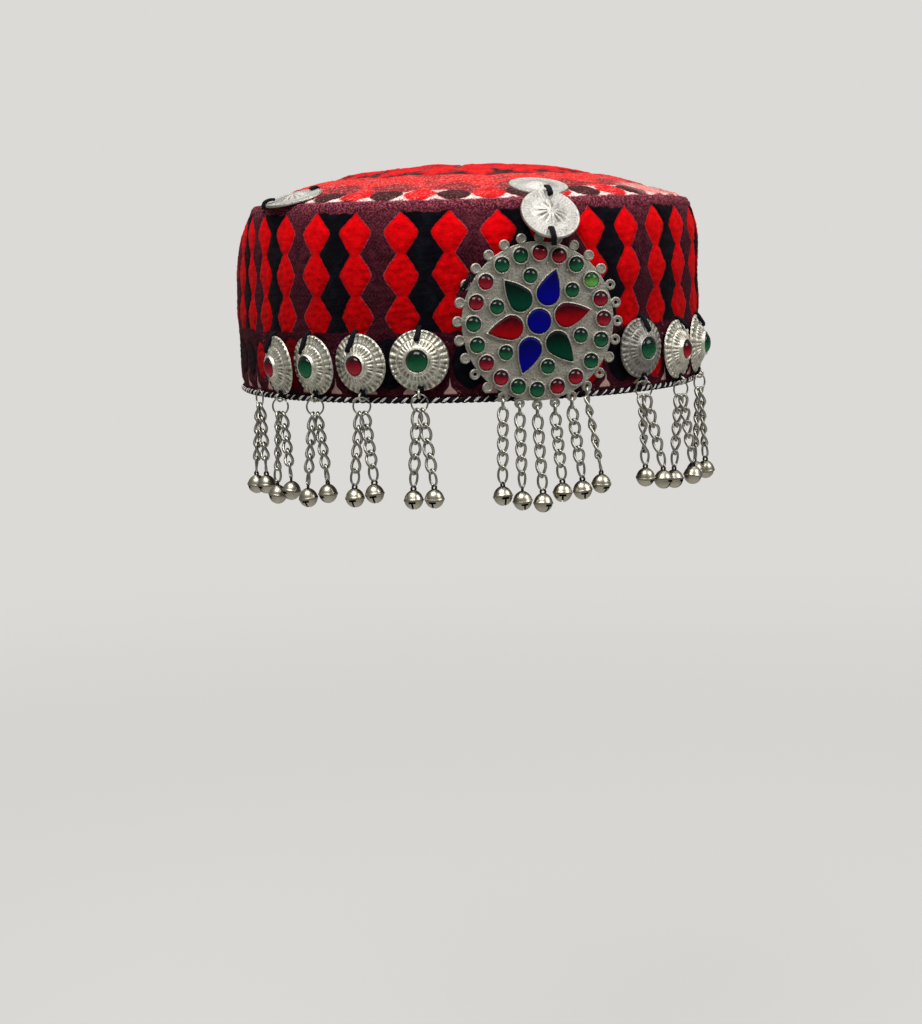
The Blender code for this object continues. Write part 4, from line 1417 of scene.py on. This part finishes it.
def coin_place(azimuth, lean, slide):
    """Against the cap's outer line, as the part sets its coins."""
    across, up = math.cos(math.radians(lean)), math.sin(math.radians(lean))
    crown = [(radius, dome_height(radius * MM) / MM) for radius in (84.9, 66.0, 38.0, 0.0)]
    touch = max(CAD_BAND_LINE + crown, key=lambda point: point[0] * across + point[1] * up)
    radius = touch[0] * MM + GAP * across - slide * up
    height = touch[1] * MM + GAP * up + slide * across
    return wall_frame(azimuth, radius, height) @ turn(-lean, "X")


def coin_shape(depth, seed):
    """A thin struck disc with a shallow creased dome, and a ring of ticks inside its raised rim."""
    radii = np.linspace(COIN_MIDDLE, COIN_RADIUS - 0.25 * MM, COIN_RINGS)
    radii = np.append(radii, COIN_RADIUS)
    share = radii / COIN_RADIUS
    angle = even_angles(COIN_SIDES)
    picker = np.random.default_rng(seed)
    phase = picker.uniform(0.6, 1.0, COIN_CREASES)
    place = angle / (2 * np.pi) * COIN_CREASES
    index = np.floor(place).astype(int) % COIN_CREASES
    crease = np.abs(np.sin(np.pi * (place % 1.0))) ** 0.65 * phase[index]
    reach = (0.60 - 0.14 * (1.0 - crease))[None, :]
    zone = ease(share, 0.06, 0.26)[:, None] * (1.0 - ease(share[:, None] - reach, -0.08, 0.04))
    rise = COIN_THICKNESS + COIN_DOME * (0.5 + 0.5 * np.cos(np.pi * np.clip(share / 0.72, 0, 1))) * 0.9
    rise[-1] = COIN_THICKNESS * 0.55
    outer_ring = (ease(share, 0.62, 0.70) * ease(share, 0.96, 0.90))[:, None]
    ticks = (0.5 + 0.5 * np.cos(COIN_TICKS * angle))[None, :] ** 3
    stipple = 0.06 * MM * picker.uniform(-1, 1, (len(radii), COIN_SIDES)) * outer_ring
    raised_rim = (0.14 * MM * np.exp(-((share - 0.965) / 0.018) ** 2))[:, None]
    face = rise[:, None] + depth * zone * (crease[None, :] - 0.7)
    face = face + stipple + raised_rim - 0.10 * MM * ticks * outer_ring
    tones = 1.0 - 0.8 * zone * (1.0 - crease[None, :]) * min(1.0, depth / (0.4 * MM))
    tones = tones - 0.45 * ticks * outer_ring
    return disc_skin(radii, face, tones, [(COIN_RADIUS, 0.0), (COIN_MIDDLE, 0.0)], closed=True)


def build_coins(materials):
    for seed, (name, azimuth, lean, slide) in enumerate(COINS, start=2):
        shape = coin_shape(CREASE_DEPTHS[name], seed)
        place = coin_place(azimuth, lean, slide)
        shape.piece(f"struck_{name}", [materials["coin"]], 50.0, "silver", name, place=place)


# Threads that hold the ornaments

def sew(shape, place, points, offsets, size, slope=0.0):
    """Threads side by side, each along the same few points in mm."""
    line = smooth_line(np.array(points) * MM, 12)
    for offset in offsets:
        path = transformed(line, place @ shift(offset * MM, offset * slope * MM, 0.0))
        shape.take(tube(path, size))


def build_threads(materials):
    threads = Shape()
    rim = MEDALLION_RADIUS / MM
    knot = [(0.3, -rim + 1.6, 1.2), (0.5, -rim + 0.7, 1.6), (0.4, -rim - 0.5, 0.9), (0.2, -rim - 1.2, -0.3)]
    for name, (start, end, low) in STITCHES.items():
        place = medallion_frame(*MEDALLIONS[name])
        points = [(start, rim + 1.0, -0.9), (start, rim + 0.2, 0.9)]
        points += [(start * 0.55 + end * 0.45, (rim + low) / 2, 2.5), (end, low + 0.5, 3.3), (end, low, 2.6)]
        sew(threads, place, points, (-0.35, 0.4), 0.62 * MM)
        sew(threads, place, knot, (-0.6, 0.1, 0.8), 0.5 * MM)
    for name, *row in COINS:
        for points in COIN_STITCHES[name]:
            sew(threads, coin_place(*row), points, (-0.5, 0.1, 0.6), 0.52 * MM)
    sew(threads, plate_place(), PLATE_STITCH, (-0.4, 0.4), 0.5 * MM, slope=-0.6)
    threads.piece("sewing_threads", [materials["black_thread"]], 80.0, "black_cord")


# Drops

def link_path(half_length, half_width, twist):
    """The line of an oval link along Y, its ends twisted against each other."""
    angle = even_angles(LINK_POINTS)
    x = half_width * np.sign(np.cos(angle)) * np.abs(np.cos(angle)) ** 0.85
    y = half_length * np.sin(angle)
    spin = np.radians(twist) * y / half_length
    return np.stack([x * np.cos(spin), y, x * np.sin(spin)], axis=1)


def block(x, y, z):
    """A box of these half sizes."""
    corners = [(a * x, b * y, c * z) for c in (-1, 1) for a, b in ((-1, -1), (1, -1), (1, 1), (-1, 1))]
    faces = [(3, 2, 1, 0), (4, 5, 6, 7), (0, 1, 5, 4), (1, 2, 6, 5), (2, 3, 7, 6), (3, 0, 4, 7)]
    return Shape().add(corners, faces)


def cut(shape, cutters):
    """A shape without what the cutters take up."""
    body, cutter = shape.build("bell_body"), cutters.build("bell_cutter")
    modifier = body.modifiers.new("slot", "BOOLEAN")
    modifier.operation = "DIFFERENCE"
    modifier.solver = "EXACT"
    modifier.use_self = True
    modifier.object = cutter
    graph = bpy.context.evaluated_depsgraph_get()
    mesh = bpy.data.meshes.new_from_object(body.evaluated_get(graph))
    points = [vertex.co[:] for vertex in mesh.vertices]
    faces = [tuple(polygon.vertices) for polygon in mesh.polygons]
    for obj in (body, cutter):
        bpy.data.objects.remove(obj, do_unlink=True)
    return Shape().add(points, faces)


def bell_parts():
    """A hollow jingle bell with a slot cut across its bottom, a near-black inner shell that paints the shade
    inside it, and a dark ring painted as the shade under its seam.
    """
    outer = [(0.0, BELL_RADIUS)]
    for points in (BELL_UPPER, BELL_LOWER):
        outer += scaled(smooth_line(points, BELL_LINE_POINTS), MM)
    outer += [(0.0, -BELL_RADIUS)]
    half = len(outer) // 2
    seam = BELL_RADIUS + 0.02 * MM
    band = [(seam, 0.26 * MM), (seam + 0.16 * MM, 0.02 * MM), (seam + 0.06 * MM, -0.22 * MM)]
    shell = lathe((outer[:half] + band + outer[half:])[::-1], 32)
    shell.take(lathe(scaled(outer, BELL_WALL_SHARE), 24))
    slot = Shape().take(block(*SLOT), shift(0, 0, SLOT_Z)).take(block(*SLOT_END), shift(0, 0, SLOT_END_Z))
    # a dark ring in the crease under the seam ridge: painted shade
    seam_painted_shade = tube(round_path(BELL_RADIUS, 28), 0.10 * MM, 5, closed=True)
    # a near-black shell inside the bell, seen through the slot: painted shade
    hollow = lathe(scaled(outer, BELL_HOLLOW_SHARE), 20)
    return cut(shell, slot), hollow, Shape().take(seam_painted_shade, shift(0, 0, -0.34 * MM))


def add_links(shape, top, run, roll, picker):
    """Curb links and a long link, one after the other along a straight run."""
    down = run.normalized()
    side = Vector((1.0, 0.0, 0.0))
    side = (side - down * side.dot(down)).normalized()
    axes = Matrix((side, -down, side.cross(-down))).transposed().to_4x4()
    long_pitch = 2 * LONG_LINK_HALF - LINK_WIRE
    pitch = (run.length - long_pitch) / CURB_LINKS
    line = link_path(pitch / 2 + 1.35 * LINK_WIRE, LINK_HALF_WIDTH, LINK_TWIST)
    link = tube(line, LINK_WIRE, 7, closed=True)
    for index in range(CURB_LINKS):
        center = top + down * (pitch * (index + 0.5))
        spin = roll + picker.uniform(-LINK_ROLL, LINK_ROLL)
        shape.take(link, Matrix.Translation(center) @ axes @ turn(spin, "Y"))
    center = top + down * (pitch * CURB_LINKS + long_pitch / 2 - LINK_WIRE * 0.4)
    line = link_path(LONG_LINK_HALF, LINK_HALF_WIDTH * 0.92, LONG_LINK_TWIST)
    spin = roll * 0.6 + picker.uniform(-LONG_LINK_ROLL, LONG_LINK_ROLL)
    link = tube(line, LINK_WIRE * 0.8, 7, closed=True)
    shape.take(link, Matrix.Translation(center) @ axes @ turn(spin, "Y"))


def add_bell(shape, bell, bell_center, bail_center, picker):
    """The dark wire bail and the bell, which hangs a little askew."""
    bail = tube(round_path(BAIL_RADIUS, 16), BAIL_WIRE, 7, closed=True)
    place = Matrix.Translation(bail_center) @ turn(picker.uniform(0.0, 180.0), "Y")
    shape.take(bail, place, look=DROP_LOOKS.index("dark_wire"))
    lean = turn(picker.uniform(-9.0, 9.0), "Z") @ turn(picker.uniform(-12.0, 6.0), "X")
    facing = turn(picker.uniform(-22.0, 26.0), "Y")
    place = Matrix.Translation(bell_center) @ lean @ facing @ turn(-90.0, "X")
    for part, look in zip(bell, BELL_LOOKS):
        shape.take(part, place, look=DROP_LOOKS.index(look))


def add_chain(shape, bell, top, bell_center, roll, picker):
    """A chain from the ring's foot down to its bell."""
    top, bell_center = Vector(top), Vector(bell_center)
    bail_center = bell_center + Vector((0.0, BELL_RADIUS + BAIL_RADIUS * 0.55, 0.0))
    run = bail_center + Vector((0.0, BAIL_RADIUS, 0.0)) - top
    add_links(shape, top, run, roll, picker)
    add_bell(shape, bell, bell_center, bail_center, picker)


def jump_ring(radius, wire, open_at, spin):
    """A wire ring whose two ends nearly meet."""
    return Shape().take(tube(round_path(radius, 30, open_at + 4.0, 352.0), wire, 7), turn(spin, "Y"))


def pair_ring_place(name):
    """Azimuth, radius and height of a pair's jump ring, and how far it is turned."""
    if name in HEM_DROP_AZIMUTHS:
        return HEM_DROP_AZIMUTHS[name], CORD_CENTER_RADIUS + CORD_RADIUS + GAP + WIRE, HEM_RING_HEIGHT, 0.0
    azimuth, height = MEDALLIONS[name][:2]
    ring_height = height - EYE_DROP - RING_SLACK - PAIR_RING_RADIUS
    return azimuth, PLATE_BACK + EYE_OUT, ring_height, math.copysign(PAIR_RING_TURN, -azimuth)


def build_pair_drops(bell, picker, looks):
    """The drops of the medallions and the hem: two chains on each ring."""
    foot = -PAIR_RING_RADIUS + 0.2 * MM
    for name, (swing, aside, left_depth, right_depth) in PAIR_DROPS.items():
        azimuth, radius, ring_height, spin = pair_ring_place(name)
        swung = turn(math.copysign(swing, -azimuth), "Y")
        shape = jump_ring(PAIR_RING_RADIUS, WIRE * 0.85, picker.uniform(20.0, 70.0), spin)
        for side, depth in ((-1, left_depth), (1, right_depth)):
            reach = side * CHAIN_SPREAD * 0.6
            top = (reach * math.cos(math.radians(spin)), foot, -reach * math.sin(math.radians(spin)))
            end = swung @ Vector((aside + side * BELL_SPACING / 2, -depth - ring_height, 0.0))
            add_chain(shape, bell, top, end, picker.uniform(-25.0, 25.0), picker)
        place = wall_frame(azimuth, radius, ring_height)
        shape.piece(f"chains_drop_{name}", looks, 60.0, "silver", f"drop_{name}", place=place)


def build_single_drops(bell, picker, looks):
    """The drops of the plate: one chain on each of its lowest loops."""
    for index, (name, offset, depth) in zip(HANGING_LOOPS, SINGLE_DROPS):
        x, y = polar(LOOP_CENTER_RADIUS, loop_angle(index))
        ring_height = PLATE_CENTER_HEIGHT + y - RING_SLACK - SINGLE_RING_RADIUS
        shape = jump_ring(SINGLE_RING_RADIUS, WIRE, 60.0, SINGLE_RING_TURN)
        top = (0.0, -SINGLE_RING_RADIUS, 0.0)
        end = (offset - x, -depth - ring_height, 0.0)
        roll = SINGLE_RING_TURN if name == EDGE_ON_CHAIN else picker.uniform(-22.0, 14.0)
        add_chain(shape, bell, top, end, roll, picker)
        place = wall_frame(0.0, PLATE_BACK + PLATE_THICKNESS / 2, ring_height) @ shift(x, 0.0, 0.0)
        shape.piece(f"chain_{name}", looks, 60.0, "silver", name, place=place)


def build_drops(materials):
    bell = bell_parts()
    picker = random.Random(8)
    looks = [materials[name] for name in DROP_LOOKS]
    build_pair_drops(bell, picker, looks)
    build_single_drops(bell, picker, looks)


# Stage, light and camera

def build_stage():
    """A pale round floor that fades out into the background."""
    floor_z = HEM_Z - FLOOR_DROP
    rings = [0.02, 0.5, 1.0, FLOOR_RADIUS]
    points = [(r * math.cos(a), r * math.sin(a), floor_z)
              for r in rings for a in np.linspace(0, 2 * math.pi, FLOOR_SIDES, endpoint=False)]
    faces = ring_faces(len(rings), FLOOR_SIDES) + [tuple(range(FLOOR_SIDES))[::-1]]
    graph = Graph("pale_floor")
    cloud = graph.noise(3.0)
    graph.look(Base_Color=graph.mix(cloud, (0.60, 0.588, 0.572), (0.62, 0.608, 0.592)), Roughness=0.9)
    graph.look(Specular_IOR_Level=0.1)
    reach = graph.node("ShaderNodeVectorMath", operation="LENGTH")
    graph.tree.links.new(graph.node("ShaderNodeTexCoord").outputs["Object"], reach.inputs[0])
    fade = graph.ease(Field(graph, reach.outputs["Value"]), FLOOR_RADIUS, 0.4 * FLOOR_RADIUS)
    graph.look(Alpha=fade * 0.25)
    Shape().add(points, faces).build("floor", [graph.material], 80.0)


def add_light(name, azimuth, elevation, distance, size, power):
    light = bpy.data.lights.new(name, "AREA")
    light.shape = "RECTANGLE"
    light.size, light.size_y = size
    light.energy = power
    a, e = math.radians(CAMERA_AZIMUTH + azimuth), math.radians(elevation)
    out = Vector((math.sin(a) * math.cos(e), -math.cos(a) * math.cos(e), math.sin(e)))
    obj = add_object(name, light)
    obj.location = Vector((0.0, 0.0, HEM_Z + LIGHT_TARGET)) + out * distance
    obj.rotation_euler = out.to_track_quat("Z", "Y").to_euler()


def build_room():
    """A room that is darker below, behind an even background for the camera."""
    world = bpy.data.worlds.new("studio")
    world.use_nodes = True
    nodes, links = world.node_tree.nodes, world.node_tree.links
    split = nodes.new("ShaderNodeSeparateXYZ")
    links.new(nodes.new("ShaderNodeTexCoord").outputs["Generated"], split.inputs[0])
    half = nodes.new("ShaderNodeMath")
    half.operation = "MULTIPLY_ADD"
    half.inputs[1].default_value = 0.5
    half.inputs[2].default_value = 0.5
    links.new(split.outputs[2], half.inputs[0])
    ramp = nodes.new("ShaderNodeValToRGB")
    links.new(half.outputs[0], ramp.inputs[0])
    elements = ramp.color_ramp.elements
    for index, (place, bright) in enumerate(ROOM_BRIGHTNESS):
        element = elements[index] if index < 2 else elements.new(place)
        element.position = place
        element.color = (bright, bright * 0.985, bright * 0.96, 1.0)
    pale = nodes.new("ShaderNodeMix")
    pale.data_type = "RGBA"
    pale.inputs[7].default_value = (*BACKGROUND, 1.0)
    links.new(nodes.new("ShaderNodeLightPath").outputs["Is Camera Ray"], pale.inputs["Factor"])
    links.new(ramp.outputs["Color"], pale.inputs[6])
    links.new(pale.outputs[2], nodes["Background"].inputs["Color"])
    bpy.context.scene.world = world
    bpy.context.scene.view_settings.view_transform = "Standard"


def build_camera():
    pitch, yaw, roll = (math.radians(a) for a in (CAMERA_PITCH, CAMERA_YAW, CAMERA_ROLL))
    ahead = Vector((math.sin(yaw) * math.cos(pitch), math.cos(yaw) * math.cos(pitch), math.sin(pitch)))
    flat = Vector((math.cos(yaw), -math.sin(yaw), 0.0))
    above = flat.cross(ahead)
    right = flat * math.cos(roll) + above * math.sin(roll)
    up = above * math.cos(roll) - flat * math.sin(roll)
    matrix = Matrix((right, up, -ahead)).transposed().to_4x4()
    matrix.translation = (0.0, -CAMERA_DISTANCE, HEM_Z + CAMERA_HEIGHT)
    data = bpy.data.cameras.new("camera")
    data.sensor_fit = "VERTICAL"
    data.sensor_height = SENSOR_HEIGHT
    data.lens = FOCAL_PIXELS / IMAGE_HEIGHT * SENSOR_HEIGHT
    data.clip_start = 0.05
    camera = add_object("camera", data)
    camera.matrix_world = turn(CAMERA_AZIMUTH, "Z") @ matrix
    bpy.context.scene.camera = camera


def dress():
    materials = make_materials()
    for build in (build_band, build_crown, build_cord, build_hem_stitches, build_plate,
                  build_medallions, build_coins, build_threads, build_drops):
        build(materials)
    build_stage()
    for row in LIGHTS:
        add_light(*row)
    build_room()
    build_camera()


dress()
